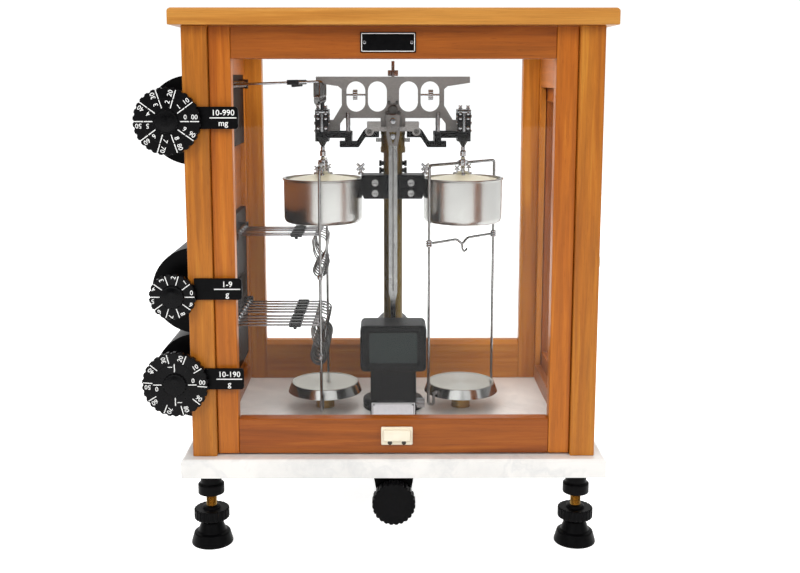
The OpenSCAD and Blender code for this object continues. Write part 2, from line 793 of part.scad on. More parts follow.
module beam_half() {
    z = knife_z;
    end_x = arm_len + 6.3;
    difference() {
        polygon([[0, z + 47], [end_x, z + 47], [end_x, z + 40.5], [57, z + 37], [53.5, z + 34],
                 [53.5, z + 17], [62.7, z + 2], [arm_len - 4, z + 2], [arm_len - 4, z - 5.5],
                 [arm_len + 4, z - 5.5], [arm_len + 4, z - 9], [55.5, z - 9], [55.5, z - 2],
                 [51, z + 4], [13, z + 4], [13, z - 13], [0, z - 13]]);
        for (x = [16.3, 38.8]) {
            translate([x, z + 32.1]) circle(r = 9.9);
            translate([x, z + 20.5]) circle(r = 9.9);
            translate([x - 9.9, z + 20.5]) square([19.8, 11.6]);
        }
    }
}
module beam_frame() color("gray") placed() {
    balance_z = knife_z + 28;
    difference() {
        cut_plate(beam_y - beam_t / 2, beam_y + beam_t / 2) {
            beam_half();
            mirror([1, 0]) beam_half();
        }
        middle_knife(beam_t);
    }
    both_sides() along_x(beam_y, balance_z, 28, 49.5, 1.1);
    upright(0, beam_y, knife_z + 46, knife_z + 63, 1.6);
    along_y(0, knife_z + 12.5, beam_y - beam_t / 2 - 3, beam_y - beam_t / 2, 6);
}

module knife_edges() color("white") placed() {
    middle_knife(13);
    both_sides() end_knife();
}

module pointer() color("silver") placed() {
    z = knife_z;
    y0 = beam_y - pointer_y - 2;
    w = pointer_w / 2;
    cut_plate(y0, y0 + 2)
        difference() {
            polygon([[-7, z + 7.5], [7, z + 7.5], [7, z - 13], [w, z - 25], [w, z - 180], [2.6, z - 188],
                     [2.6, z - 228], [5, z - 229], [5, z - 242], [-5, z - 242], [-5, z - 229],
                     [-2.6, z - 228], [-2.6, z - 188], [-w, z - 180], [-w, z - 25], [-7, z - 13]]);
            polygon([[-4.2, z - 10], [4.2, z - 10], [0, z - 23]]);
        }
    for (x = [-5.3, 5.3])
        along_y(x, z + 5, y0 + 2, beam_y - beam_t / 2, 1.5);
}

module balance_nut(x) {
    difference() {
        translate([x - 2.5, beam_y, knife_z + 28])
            rotate([0, 90, 0])
                fluted(5.5, 5, 16, 0.8);
        along_x(beam_y, knife_z + 28, x - 4, x + 4, 1.1 + fit);
    }
}
module left_balance_nut() color("goldenrod") placed() balance_nut(-39.5);
module right_balance_nut() color("goldenrod") placed() balance_nut(39.5);

module sensitivity_nut() color("goldenrod") placed()
    difference() {
        translate([0, beam_y, knife_z + 47.5]) fluted(5.5, 6, 16, 0.8);
        upright(0, beam_y, knife_z + 47, knife_z + 54, 1.6 + fit);
    }

// The stirrup of the right side: a ring in the Y-Z plane round the beam's end, with its stem
module stirrup() {
    x0 = arm_len - 7;
    x1 = arm_len + 7;
    z = knife_z;
    plate_in = 10;
    plate_out = 13;
    difference() {
        block(x0, x1, beam_y - plate_out, beam_y + plate_out, z - 20, z + 13);
        block(x0 - 1, x1 + 1, beam_y - plate_in, beam_y + plate_in, z - 16, z + 9);
    }
    block(arm_len - 3, arm_len + 3, beam_y - 8, beam_y + 8, z + 0.1, z + 9);
    translate([arm_len, beam_y, z - 26]) cylinder(h = 6, r1 = 1.6, r2 = 5);
    upright(arm_len, beam_y, z - 37, z - 26, 1.6);
}
module right_stirrup() color("dimgray") placed() stirrup();
module left_stirrup() color("dimgray") placed() {
    rack_half = row_half(mg_count) + 9;
    mirror([1, 0, 0]) stirrup();
    along_y(-arm_len, mg_rack_z, beam_y - rack_half, beam_y + rack_half, mg_rack_r);
    for (side = [-1, 1])
        upright(-arm_len, beam_y + side * 11.5, knife_z + 12, mg_rack_z, 1.4);
}

// A hanger whose legs stand at X = +half and -half, with a hub round the bell's stem
module hanger(half) {
    foot_z = knee_z - 3.5;
    difference() {
        union() {
            translate([0, 0, hang_z - 3]) cylinder(h = 6, r = 5);
            for (side = [-1, 1])
                wire([[0, 0, hang_z], [side * half, 0, hang_z], [side * half, 0, knee_z],
                      [side * lug_r, 0, foot_z], [side * lug_r, 0, pan_top_z - 3.5]], wire_d);
        }
        translate([0, 0, hang_z - 5]) cylinder(h = 10, r = stem_r + fit);
    }
}

module left_hanger() color("silver") placed() {
    translate([-arm_len, beam_y, 0])
        rotate(90) {
            hanger(left_half);
            for (z = [gram_rack_z, ten_rack_z]) {
                bar([-left_half - 4, 0, z], [left_half + 4, 0, z], 2 * rack_r);
                for (side = [-1, 1])
                    translate([side * (left_half + 5), 0, z])
                        rotate([0, 90, 0])
                            cylinder(h = 4, r = 2.6, center = true);
            }
        }
}

module right_hanger() color("silver") placed() {
    bar_height = floor_z + 185;
    translate([arm_len, beam_y, 0])
        rotate(45) {
            hanger(right_half);
            wire([[-right_half, 0, bar_height], [-9, 0, bar_height], [0, 0, bar_height - 6],
                  [9, 0, bar_height], [right_half, 0, bar_height]], 2.4);
            wire([[0, 0, bar_height - 6], [0, 0, bar_height - 11], [4, 0, bar_height - 15],
                  [8, 0, bar_height - 12]], 1.8);
        }
}

// A damper bell with a conical lid, its boss and its stem
module bell() {
    boss_r = 7;
    boss_z = bell_lid_z + 7;
    rotate_extrude()
        polygon([[bell_r - 1.2, bell_lid_z - 34], [bell_r, bell_lid_z - 34], [bell_r, bell_lid_z],
                 [bell_r - 2, bell_lid_z + 2], [boss_r, boss_z], [boss_r, boss_z + 3], [0, boss_z + 3],
                 [0, boss_z - 2], [boss_r, boss_z - 2], [bell_r - 1.2, bell_lid_z]]);
    upright(0, 0, boss_z + 3, knife_z - 37, stem_r);
}
module left_damper_bell() color("gainsboro") placed() translate([-arm_len, beam_y, 0]) bell();
module right_damper_bell() color("gainsboro") placed() translate([arm_len, beam_y, 0]) bell();

// A pan with a flat top, a flared skirt and two drilled lugs on its X sides
module pan() {
    r = pan_d / 2;
    top_r = r - 4.2;
    lug_z = pan_low_z + 2.5;
    difference() {
        union() {
            rotate_extrude()
                polygon([[0, pan_top_z - pan_t], [top_r - pan_t, pan_top_z - pan_t],
                         [r - pan_t, pan_low_z], [r, pan_low_z], [top_r, pan_top_z], [0, pan_top_z]]);
            for (side = [-1, 1])
                translate([side * (lug_r - 2), 0, lug_z + 1]) cube([11, 8, 2], center = true);
        }
        for (side = [-1, 1])
            translate([side * lug_r, 0, lug_z - 1]) cylinder(h = 4, r = wire_d / 2 + 0.3);
    }
}
module left_pan() color("lightsteelblue") placed() translate([-arm_len, beam_y, 0]) rotate(90) pan();
module right_pan() color("lightsteelblue") placed() translate([arm_len, beam_y, 0]) rotate(45) pan();

module screen_glass() color("darkslategray") placed() {
    z_mid = screen_z + screen_h / 2;
    block(-window_w / 2 - 1, window_w / 2 + 1, screen_y + 4.2, screen_y + 5.8,
          z_mid - window_h / 2 - 0.6, z_mid + window_h / 2 + 0.6);
}

module zero_knob() color("silver") placed() {
    y = stand_y + 10;
    z = floor_z + 24;
    along_x(y, z, 4, stand_w / 2 + 1, 2.5);
    translate([stand_w / 2 + 1, y, z]) rotate([0, 90, 0]) fluted(5, 8, 20, 0.6);
}

// The cup on the table and, above it, the screw with its fluted wheel
module foot_cup(x) {
    translate([x, foot_y, 0]) {
        cylinder(h = 12, r1 = cup_d / 2, r2 = cup_d / 2 - 3.5);
        translate([0, 0, 12]) cylinder(h = 10, r1 = 13.5, r2 = 10);
    }
}
module foot_screw(x) {
    translate([x, foot_y, 0]) {
        translate([0, 0, 22.3]) cylinder(h = 2.7, r = 8);
        translate([0, 0, 25]) fluted(wheel_d / 2, 10, 24, 1.4);
        translate([0, 0, 35]) cylinder(h = foot_h - foot_travel - 2 - 35, r = foot_screw_d / 2);
    }
}
module left_foot_cup() color("black") placed() foot_cup(-foot_x);
module right_foot_cup() color("black") placed() foot_cup(foot_x);
module left_foot_screw() color("goldenrod") placed() foot_screw(-foot_x);
module right_foot_screw() color("goldenrod") placed() foot_screw(foot_x);

// The fluted knob in the middle of a dial
module dial_knob() {
    translate([0, dial_y0 - dial_knob_h, 0]) rotate([-90, 0, 0]) fluted(dial_knob_r, dial_knob_h, 20, 0.9);
}

// A scalloped dial with its hollow shaft, hollowed for a centre dial of radius inner_r
module outer_dial(r, z, inner_r, flutes, cams) {
    hub_r = dial_out - 1.5;
    end_y = housing_y + 12 + cams * 12;
    translate([dial_x, 0, z])
        difference() {
            union() {
                translate([0, dial_y0, 0]) rotate([-90, 0, 0]) fluted(r, dial_y1 - dial_y0, flutes, 2.2);
                along_y(0, 0, dial_y1, housing_y - 0.3, hub_r);
                along_y(0, 0, housing_y - 0.3, end_y, dial_shaft_r);
                for (i = [1:cams])
                    rotate([0, i * 36, 0]) along_y(1.5, 0, housing_y + 8 + i * 12, housing_y + 12 + i * 12, 9);
            }
            if (inner_r > 0) {
                along_y(0, 0, dial_y0 - 1, dial_y0 + 3, inner_r + 0.3);
                along_y(0, 0, dial_y0, end_y + 1, centre_shaft_r + fit);
            }
        }
}

// A centre dial with its knob and its long shaft, which carries more cams
module centre_dial(z, cams) {
    first_y = housing_y + housing_l - 30 - cams * 12;
    translate([dial_x, 0, z]) {
        along_y(0, 0, dial_y0, dial_y0 + 2.7, centre_dial_r);
        dial_knob();
        along_y(0, 0, dial_y0 + 2.7, housing_y + housing_l, centre_shaft_r);
        for (i = [1:cams])
            rotate([0, i * 40, 0]) along_y(1.5, 0, first_y + i * 12, first_y + 4 + i * 12, 9);
    }
}

module mg_dial() color("black") placed() outer_dial(mg_dial_r, mg_z, centre_dial_r, 30, 4);
module mg_centre_dial() color("black") placed() centre_dial(mg_z, 4);
module gram_dial() color("black") placed() {
    outer_dial(gram_dial_r, gram_z, 0, 24, 5);
    translate([dial_x, 0, gram_z]) dial_knob();
}
module ten_gram_dial() color("black") placed() outer_dial(ten_dial_r, ten_z, centre_dial_r, 30, 5);
module ten_gram_centre_dial() color("black") placed() centre_dial(ten_z, 4);

// One lever in the plane at Y = y, its peg at x, and the ring weight that hangs on the peg
module lever(y, z, x, peg_z, rod_d, peg_r, ring_in, ring_wire) {
    out = y < beam_y ? -1 : 1;
    drop_y = y + out * (ring_wire + peg_r + 0.4);
    end_y = y - out * (ring_wire + 0.8);
    difference() {
        union() {
            along_y(lever_x, z, drop_y - 1.5, drop_y + 1.5, 3.6);
            wire([[lever_x + 2.6, drop_y, z], [x - 5, drop_y, z], [x, drop_y, z - 4],
                  [x, drop_y, peg_z]], rod_d);
            knuckle([x, drop_y, peg_z], 2 * peg_r);
            along_y(x, peg_z, min(drop_y, end_y), max(drop_y, end_y), peg_r);
        }
        along_y(lever_x, z, drop_y - 3, drop_y + 3, lever_shaft_r + fit);
    }
    translate([x, y, peg_z + peg_r + 0.15 - ring_in])
        rotate([90, 0, 0])
            rotate_extrude()
                translate([ring_in + ring_wire, 0])
                    circle(r = ring_wire, $fn = 24);
}

// A row of levers over a rack bar of radius bar_r at height rack
module lever_row(count, z, rack, bar_r, peg_r, side, ring_in, ring_wire) {
    peg_z = rack + bar_r + ring_rise - peg_r - 0.15;
    for (i = [0:count - 1])
        lever(beam_y - row_half(count) + i * lever_pitch, z, -arm_len - side, peg_z,
              2 * peg_r + rod_extra, peg_r, ring_in, ring_wire);
}

module mg_levers() color("silver") placed()
    lever_row(mg_count, mg_lever_z, mg_rack_z, mg_rack_r, 0.6, 2.1, mg_ring_r, 0.5);
module gram_levers() color("silver") placed()
    lever_row(gram_count, gram_lever_z, gram_rack_z, rack_r, 0.8, 2.6, gram_ring_r, 1.1);
module ten_gram_levers() color("silver") placed()
    lever_row(ten_count, ten_lever_z, ten_rack_z, rack_r, 1, 2.8, ten_ring_r, 2);

base_slab();
top_board();
corner_posts();
rear_frame();
side_rails();
rear_pane();
lever_boards();
dial_housings();
index_tabs();
column_tube();
column_head();
damper_bracket();
bracket_screws();
damper_cups();
bubble_level();
knob_bracket();
foot_sockets();
lamp_housing();
screen_housing();
data_plate();
sash_frame();
sash_pane();
sash_pull();
name_plate();
door_frame();
door_pane();
door_knob();
arrest_knob();
lift_rod();
pan_rests();
left_arm();
right_arm();
beam_frame();
knife_edges();
pointer();
left_balance_nut();
right_balance_nut();
sensitivity_nut();
left_stirrup();
left_hanger();
left_damper_bell();
left_pan();
right_stirrup();
right_hanger();
right_damper_bell();
right_pan();
screen_glass();
zero_knob();
left_foot_cup();
left_foot_screw();
right_foot_cup();
right_foot_screw();
mg_dial();
mg_centre_dial();
gram_dial();
ten_gram_dial();
ten_gram_centre_dial();
mg_levers();
gram_levers();
ten_gram_levers();
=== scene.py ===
from math import asin, atan2, cos, hypot, pi, radians, sin
import bmesh
import bpy
from mathutils import Matrix, Vector


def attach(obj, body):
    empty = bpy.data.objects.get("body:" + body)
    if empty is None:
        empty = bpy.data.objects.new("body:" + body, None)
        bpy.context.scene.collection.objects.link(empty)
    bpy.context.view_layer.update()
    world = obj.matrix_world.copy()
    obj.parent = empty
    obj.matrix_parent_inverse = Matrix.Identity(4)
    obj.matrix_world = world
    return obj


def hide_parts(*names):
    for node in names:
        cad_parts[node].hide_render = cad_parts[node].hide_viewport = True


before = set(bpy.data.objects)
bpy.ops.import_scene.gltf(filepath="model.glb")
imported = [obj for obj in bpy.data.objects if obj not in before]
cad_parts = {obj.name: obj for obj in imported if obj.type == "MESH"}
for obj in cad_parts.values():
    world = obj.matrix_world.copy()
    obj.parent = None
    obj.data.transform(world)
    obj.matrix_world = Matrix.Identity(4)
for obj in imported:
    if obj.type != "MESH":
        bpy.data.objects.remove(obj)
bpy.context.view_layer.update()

# Lengths are in millimetres about the middle of the case, with the table at Z = 0.
MID_X, MID_Y = -16.9, -1.5
BEAM_Y, ARM = 14.5, 74.0
FLOOR_Z, ROOF_Z = 91.0, 492.0
FOOT_X, FOOT_Y = 176.0, 128.5
X, Y, Z = Vector((1, 0, 0)), Vector((0, 1, 0)), Vector((0, 0, 1))
SIDES = ((-1, "left"), (1, "right"))
BEVEL_ANGLE, SHARP_ANGLE = radians(30), radians(35)


def row(v):
    """A point of the drawing as a point of the row frame, in metres."""
    return ((v[0] - MID_X) / 1000, (v[1] - MID_Y) / 1000, v[2] / 1000)


def linear(code):
    """A colour as written on screen, made linear."""
    parts = [int(code[i:i + 2], 16) / 255 for i in (0, 2, 4)]
    return tuple(c / 12.92 if c <= 0.04045 else ((c + 0.055) / 1.055) ** 2.4 for c in parts) + (1,)


def placed(name, data):
    """A new object of the scene."""
    ob = bpy.data.objects.new(name, data)
    bpy.context.scene.collection.objects.link(ob)
    return ob


# Shapes


def moved(x, y, z=0.0):
    return Matrix.Translation((x, y, z))


def toward(place, direction):
    """Takes the Z axis to a direction at a place."""
    turn = Vector(direction).to_track_quat("Z", "Y").to_matrix().to_4x4()
    return Matrix.Translation(place) @ turn


def bevelled(bm, width, segments=2):
    if width:
        edges = [e for e in bm.edges if e.is_manifold and e.calc_face_angle(0) > BEVEL_ANGLE]
        bmesh.ops.bevel(bm, geom=edges, offset=width, segments=segments, profile=0.5, affect="EDGES",
                        clamp_overlap=True)
    return bm


def box(x0, x1, y0, y1, z0, z1, bevel=0.5, segments=2):
    """A box between two values of each axis. The two of X may come in either order."""
    bm = bmesh.new()
    middle = moved((x0 + x1) / 2, (y0 + y1) / 2, (z0 + z1) / 2)
    size = Matrix.Diagonal((abs(x1 - x0), y1 - y0, z1 - z0, 1))
    bmesh.ops.create_cube(bm, size=1, matrix=middle @ size)
    return bevelled(bm, bevel, segments)


def outward(bm):
    """The shape with its faces turned outward."""
    bmesh.ops.recalc_face_normals(bm, faces=bm.faces)
    return bm


def slab(points, along, bevel=0.4, segments=2):
    """A flat outline of points, made thick by the vector along."""
    bm = bmesh.new()
    low = [bm.verts.new(p) for p in points]
    high = [bm.verts.new(Vector(p) + Vector(along)) for p in points]
    bm.faces.new(low)
    bm.faces.new(high[::-1])
    for i in range(len(points)):
        j = (i + 1) % len(points)
        bm.faces.new((low[i], high[i], high[j], low[j]))
    return bevelled(outward(bm), bevel, segments)


def bands(bm, rings):
    """Faces between rings of as many points each."""
    for low, high in zip(rings, rings[1:]):
        for i in range(len(low)):
            j = (i + 1) % len(low)
            bm.faces.new((low[i], low[j], high[j], high[i]))


def lathe(profile, segments=64):
    """A profile of (radius, height) turned about the Z axis."""
    bm = bmesh.new()
    rings = []
    for r, h in profile:
        if r < 1e-6:
            rings.append([bm.verts.new((0, 0, h))])
        else:
            rings.append([bm.verts.new((r * cos(a), r * sin(a), h))
                          for a in (2 * pi * i / segments for i in range(segments))])
    for low, high in zip(rings, rings[1:]):
        if len(low) == len(high) == segments:
            bands(bm, (low, high))
            continue
        for i in range(segments):
            j = (i + 1) % segments
            if len(low) < len(high):
                bm.faces.new((low[0], high[j], high[i]))
            else:
                bm.faces.new((low[i], low[j], high[0]))
    return outward(bm)


def rounded(points, radius, steps, share):
    """A path with bends of about that radius, each of which takes no more than a share of a side."""
    points = [Vector(p) for p in points]
    made = [points[0]]
    for a, b, c in zip(points, points[1:], points[2:]):
        cut = min(radius, (a - b).length * share, (c - b).length * share)
        p, q = b + (a - b).normalized() * cut, b + (c - b).normalized() * cut
        for i in range(steps + 1):
            t = i / steps
            made.append(p * (1 - t) ** 2 + b * 2 * t * (1 - t) + q * t ** 2)
    return made + [points[-1]]


def turned(profile, radius=0.5, segments=64):
    """A profile turned about the Z axis, with its inner corners rounded off."""
    return lathe(rounded(profile, radius, 3, 0.45), segments)


def bent(points, radius, steps):
    return rounded(points, radius, steps, 0.48)


def tube(points, radius, sides=12, closed=False):
    """A round wire along a path."""
    bm = bmesh.new()
    points = [Vector(p) for p in points]
    count = len(points)
    side = None
    rings = []
    for i, p in enumerate(points):
        if closed:
            along = (points[(i + 1) % count] - points[i - 1]).normalized()
        else:
            along = (points[min(i + 1, count - 1)] - points[max(i - 1, 0)]).normalized()
        if side is None:
            side = along.orthogonal().normalized()
        side = (side - along * side.dot(along)).normalized()
        other = along.cross(side)
        rings.append([bm.verts.new(p + radius * (side * cos(a) + other * sin(a)))
                      for a in (2 * pi * k / sides for k in range(sides))])
    bands(bm, rings)
    if closed:
        best = min(range(sides), key=lambda s: (rings[0][s].co - rings[-1][0].co).length)
        bands(bm, (rings[-1], rings[0][best:] + rings[0][:best]))
    else:
        bm.faces.new(rings[0])
        bm.faces.new(rings[-1])
    return outward(bm)


def circle(radius, steps, centre, a=X, b=Z):
    return [Vector(centre) + a * radius * cos(t) + b * radius * sin(t)
            for t in (2 * pi * i / steps for i in range(steps))]


def scalloped(radius, depth, flutes, height, notch):
    """A disc with round notches in its rim, from Z = 0 up, with softened edges."""
    outline = []
    half = asin(min(0.9, notch / radius))
    steps = 7
    for i in range(flutes):
        middle = 2 * pi * i / flutes
        for k in range(steps):
            t = -1 + 2 * k / (steps - 1)
            outline.append((radius - depth * (1 - t * t), middle + half * t))
        outline.append((radius, middle + pi / flutes))
    soft = min(0.7, height * 0.3)
    bm = bmesh.new()
    rings = []
    for cut, h in ((soft, 0), (0, soft), (0, height - soft), (soft, height)):
        rings.append([bm.verts.new(((r - cut) * cos(a), (r - cut) * sin(a), h))
                      for r, a in outline])
    bands(bm, rings)
    bm.faces.new(rings[0][::-1])
    bm.faces.new(rings[-1])
    return outward(bm)


def letters(text, size):
    """Raised lettering in the X-Z plane, its middle at the origin, that faces -Y."""
    curve = bpy.data.curves.new("letters", "FONT")
    curve.body = text
    curve.size = size
    curve.align_x = "CENTER"
    curve.align_y = "CENTER"
    curve.extrude = 0.06
    curve.offset = size * 0.008
    curve.resolution_u = 3
    ob = placed("letters", curve)
    bpy.context.view_layer.update()
    mesh = bpy.data.meshes.new_from_object(ob)
    bm = bmesh.new()
    bm.from_mesh(mesh)
    bpy.data.objects.remove(ob)
    bpy.data.meshes.remove(mesh)
    bpy.data.curves.remove(curve)
    bmesh.ops.transform(bm, matrix=Matrix.Rotation(radians(90), 4, "X"), verts=bm.verts)
    return bm


def cad_shape(node, width, segments=2):
    """A copy of a CAD node's shape with its triangles merged and its edges rounded off."""
    bm = bmesh.new()
    bm.from_mesh(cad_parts[node].data)
    for v in bm.verts:
        v.co = Vector((v.co.x * 1000 + MID_X, v.co.y * 1000 + MID_Y, v.co.z * 1000))
    bmesh.ops.remove_doubles(bm, verts=bm.verts, dist=0.005)
    bmesh.ops.dissolve_limit(bm, angle_limit=radians(0.5), verts=bm.verts, edges=bm.edges,
                             use_dissolve_boundaries=False)
    return bevelled(bm, width, segments)


class Shape:
    """A piece in the making: faces with their material and the direction of their grain."""

    def __init__(self):
        self.verts, self.faces, self.mats, self.grains = [], [], [], []

    def add(self, bm, mat=0, axis=0, shift=0.0, at=None):
        """mat is a number, or a function of a face's centre and normal."""
        base = len(self.verts)
        bm.verts.index_update()
        bm.normal_update()
        for v in bm.verts:
            self.verts.append(at @ v.co if at else v.co.copy())
        for f in bm.faces:
            self.faces.append([base + v.index for v in f.verts])
            self.mats.append(mat(f.calc_center_median(), f.normal) if callable(mat) else mat)
            self.grains.append((axis, shift))
        bm.free()
        return self

    def islands(self):
        """Gives each loose part its own place in the grain."""
        parent = list(range(len(self.verts)))

        def root(i):
            while parent[i] != i:
                parent[i] = parent[parent[i]]
                i = parent[i]
            return i

        for f in self.faces:
            for v in f[1:]:
                parent[root(v)] = root(f[0])
        seen = {}
        for k, f in enumerate(self.faces):
            number = seen.setdefault(root(f[0]), len(seen) + 1)
            self.grains[k] = (self.grains[k][0], self.grains[k][1] + number * 1.7)
        return self

    def make(self, name, materials, body, slot, stands_for=None):
        mesh = bpy.data.meshes.new(name)
        mesh.from_pydata([row(v) for v in self.verts], [], self.faces)
        for m in materials:
            mesh.materials.append(m)
        mesh.polygons.foreach_set("material_index", self.mats)
        mesh.polygons.foreach_set("use_smooth", [True] * len(self.faces))
        grain = mesh.attributes.new("grain", "FLOAT_VECTOR", "CORNER")
        values = []
        for f, (axis, shift) in zip(self.faces, self.grains):
            for v in f:
                p = self.verts[v]
                values += [(p[(axis + k) % 3] + shift * (91, 53, 37)[k]) / 1000 for k in range(3)]
        grain.data.foreach_set("vector", values)
        mesh.set_sharp_from_angle(angle=SHARP_ANGLE)
        ob = placed(name, mesh)
        normals = ob.modifiers.new("normals", "WEIGHTED_NORMAL")
        normals.keep_sharp = True
        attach(ob, body)
        if stands_for:
            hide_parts(stands_for)


# Nodes


def feed(tree, value, socket):
    """Sets a socket to a number or colour, or links it to another node's output."""
    if isinstance(value, bpy.types.NodeSocket):
        tree.links.new(value, socket)
    else:
        socket.default_value = value


def calc(tree, kind, *values):
    """A Math node from numbers and sockets."""
    node = tree.nodes.new("ShaderNodeMath")
    node.operation = kind
    for socket, value in zip(node.inputs, values):
        feed(tree, value, socket)
    return node.outputs[0]


def ranged(tree, value, limits, ends, kind="LINEAR"):
    """Takes a value's range from its limits to its ends."""
    node = tree.nodes.new("ShaderNodeMapRange")
    node.interpolation_type = kind
    tree.links.new(value, node.inputs["Value"])
    for key, number in zip(("From Min", "From Max", "To Min", "To Max"), (*limits, *ends)):
        node.inputs[key].default_value = number
    return node.outputs[0]


class Paint:
    """A node material round one Principled shader."""

    def __init__(self, name, **values):
        self.mat = bpy.data.materials.new(name)
        self.mat.use_nodes = True
        self.tree = self.mat.node_tree
        self.tree.nodes.clear()
        self.out = self.new("ShaderNodeOutputMaterial")
        self.shader = self.new("ShaderNodeBsdfPrincipled")
        self.link(self.shader.outputs[0], self.out.inputs[0])
        for key, value in values.items():
            self.shader.inputs[key.replace("_", " ")].default_value = value
        self.place = self.new("ShaderNodeTexCoord").outputs["Object"]

    def new(self, kind, **settings):
        node = self.tree.nodes.new(kind)
        for key, value in settings.items():
            setattr(node, key, value)
        return node

    def link(self, a, b):
        self.tree.links.new(a, b)

    def scaled(self, vector, scale, shift=(0, 0, 0)):
        node = self.new("ShaderNodeMapping")
        node.inputs["Location"].default_value = shift
        node.inputs["Scale"].default_value = scale
        self.link(vector, node.inputs["Vector"])
        return node.outputs[0]

    def noise(self, vector, scale, detail=4.0, rough=0.5, distortion=0.0):
        node = self.new("ShaderNodeTexNoise")
        self.link(vector, node.inputs["Vector"])
        values = {"Scale": scale, "Detail": detail, "Roughness": rough, "Distortion": distortion}
        for key, value in values.items():
            node.inputs[key].default_value = value
        return node.outputs["Fac"]

    def ramp(self, value, stops):
        """Colours, or shades of grey, at places along a value."""
        node = self.new("ShaderNodeValToRGB")
        self.link(value, node.inputs["Fac"])
        marks = node.color_ramp.elements
        while len(marks) < len(stops):
            marks.new(0.5)
        for mark, (place, color) in zip(marks, stops):
            mark.position = place
            mark.color = color if hasattr(color, "__len__") else (color, color, color, 1)
        return node.outputs["Color"]

    def tones(self, value, color, other):
        """From one colour to another, with most of a noise between them."""
        return self.ramp(value, [(0.3, linear(color)), (0.7, linear(other))])

    def mix(self, amount, a, b, kind="MIX"):
        node = self.new("ShaderNodeMix", data_type="RGBA", blend_type=kind)
        for value, name, sort in ((amount, "Factor", "VALUE"), (a, "A", "RGBA"), (b, "B", "RGBA")):
            feed(self.tree, value, next(i for i in node.inputs if i.name == name and i.type == sort))
        return next(o for o in node.outputs if o.type == "RGBA")

    def color(self, value):
        self.link(value, self.shader.inputs["Base Color"])

    def rough(self, value, low, high):
        self.link(ranged(self.tree, value, (0, 1), (low, high)), self.shader.inputs["Roughness"])

    def turn(self, axis):
        """Lets the gloss run in circles about an axis, as on turned work."""
        tangent = self.new("ShaderNodeTangent", direction_type="RADIAL", axis=axis)
        self.link(tangent.outputs[0], self.shader.inputs["Tangent"])

    def bump(self, height, strength, distance=0.0002):
        node = self.new("ShaderNodeBump")
        node.inputs["Strength"].default_value = strength
        node.inputs["Distance"].default_value = distance
        self.link(height, node.inputs["Height"])
        self.link(node.outputs[0], self.shader.inputs["Normal"])
        return self


# Materials

BLACK = (0, 0, 0, 1)
RING_SCALE = 2600


def wood(name, dark, middle, light, pores=0.35):
    dark, middle, light = linear(dark), linear(middle), linear(light)
    p = Paint(name, Coat_Weight=0.12, Coat_Roughness=0.2, Specular_IOR_Level=0.25)
    grain = p.new("ShaderNodeAttribute", attribute_name="grain").outputs["Vector"]
    broad = p.noise(p.scaled(grain, (3, 22, 22)), 1.0, 3, 0.5, 0.6)
    streak = p.noise(p.scaled(grain, (7, 170, 170)), 1.0, 5, 0.62, 0.4)
    fibre = p.noise(p.scaled(grain, (35, 1500, 1500)), 1.0, 3, 0.6)
    pore = p.noise(p.scaled(grain, (90, 1300, 1300)), 1.0, 2, 0.5)
    tone = p.ramp(broad, [(0.3, middle), (0.72, light)])
    lines = p.ramp(streak, [(0.36, dark), (0.56, middle), (0.7, light)])
    both = p.mix(0.5, tone, lines)
    fine = p.ramp(fibre, [(0.3, 0.72), (0.62, 1.0)])
    both = p.mix(0.55, both, fine, "MULTIPLY")
    holes = p.ramp(pore, [(0.30, 1.0), (0.36, 0.0)])
    p.color(p.mix(p.mix(pores, BLACK, holes), both, dark))
    p.rough(streak, 0.34, 0.5)
    return p.bump(fibre, 0.12).mat


def plain(name, color, other, rough, spread, scale, bump, axis=None, **values):
    """A colour with soft variation in tone, gloss and surface, turned about an axis if one is given."""
    p = Paint(name, **values)
    if axis:
        p.turn(axis)
    field = p.noise(p.place, scale, 4, 0.55)
    p.color(p.tones(field, color, other))
    p.rough(field, max(0.02, rough - spread), rough + spread)
    return p.bump(field, bump, 0.0001).mat


def spun(name, color, other, rough, anisotropic):
    """Metal turned on a lathe about a vertical axis."""
    p = Paint(name, Metallic=1.0, Anisotropic=anisotropic)
    p.turn("Z")
    rings = p.noise(p.scaled(p.place, (4, 4, RING_SCALE)), 1.0, 2, 0.5)
    p.color(p.tones(p.noise(p.place, 25, 3, 0.5), color, other))
    p.rough(rings, rough - 0.03, rough + 0.03)
    return p.bump(rings, 0.03, 0.00002).mat


def radial(name, color, other, rough, centre):
    """Metal with turning marks in circles about a point, seen from above."""
    p = Paint(name, Metallic=1.0, Anisotropic=0.85)
    p.turn("Z")
    x, y, z = row((*centre, 0))
    length = p.new("ShaderNodeVectorMath", operation="LENGTH")
    p.link(p.scaled(p.place, (1, 1, 0), (-x, -y, 0)), length.inputs[0])
    noise = p.new("ShaderNodeTexNoise", noise_dimensions="1D")
    noise.inputs["Scale"].default_value = RING_SCALE
    noise.inputs["Detail"].default_value = 2
    p.link(length.outputs["Value"], noise.inputs["W"])
    rings = noise.outputs["Fac"]
    cloud = p.noise(p.place, 30, 3, 0.5)
    p.color(p.mix(0.5, p.tones(rings, color, other), p.tones(cloud, color, other)))
    p.rough(rings, rough - 0.06, rough + 0.08)
    return p.bump(rings, 0.15, 0.00005).mat


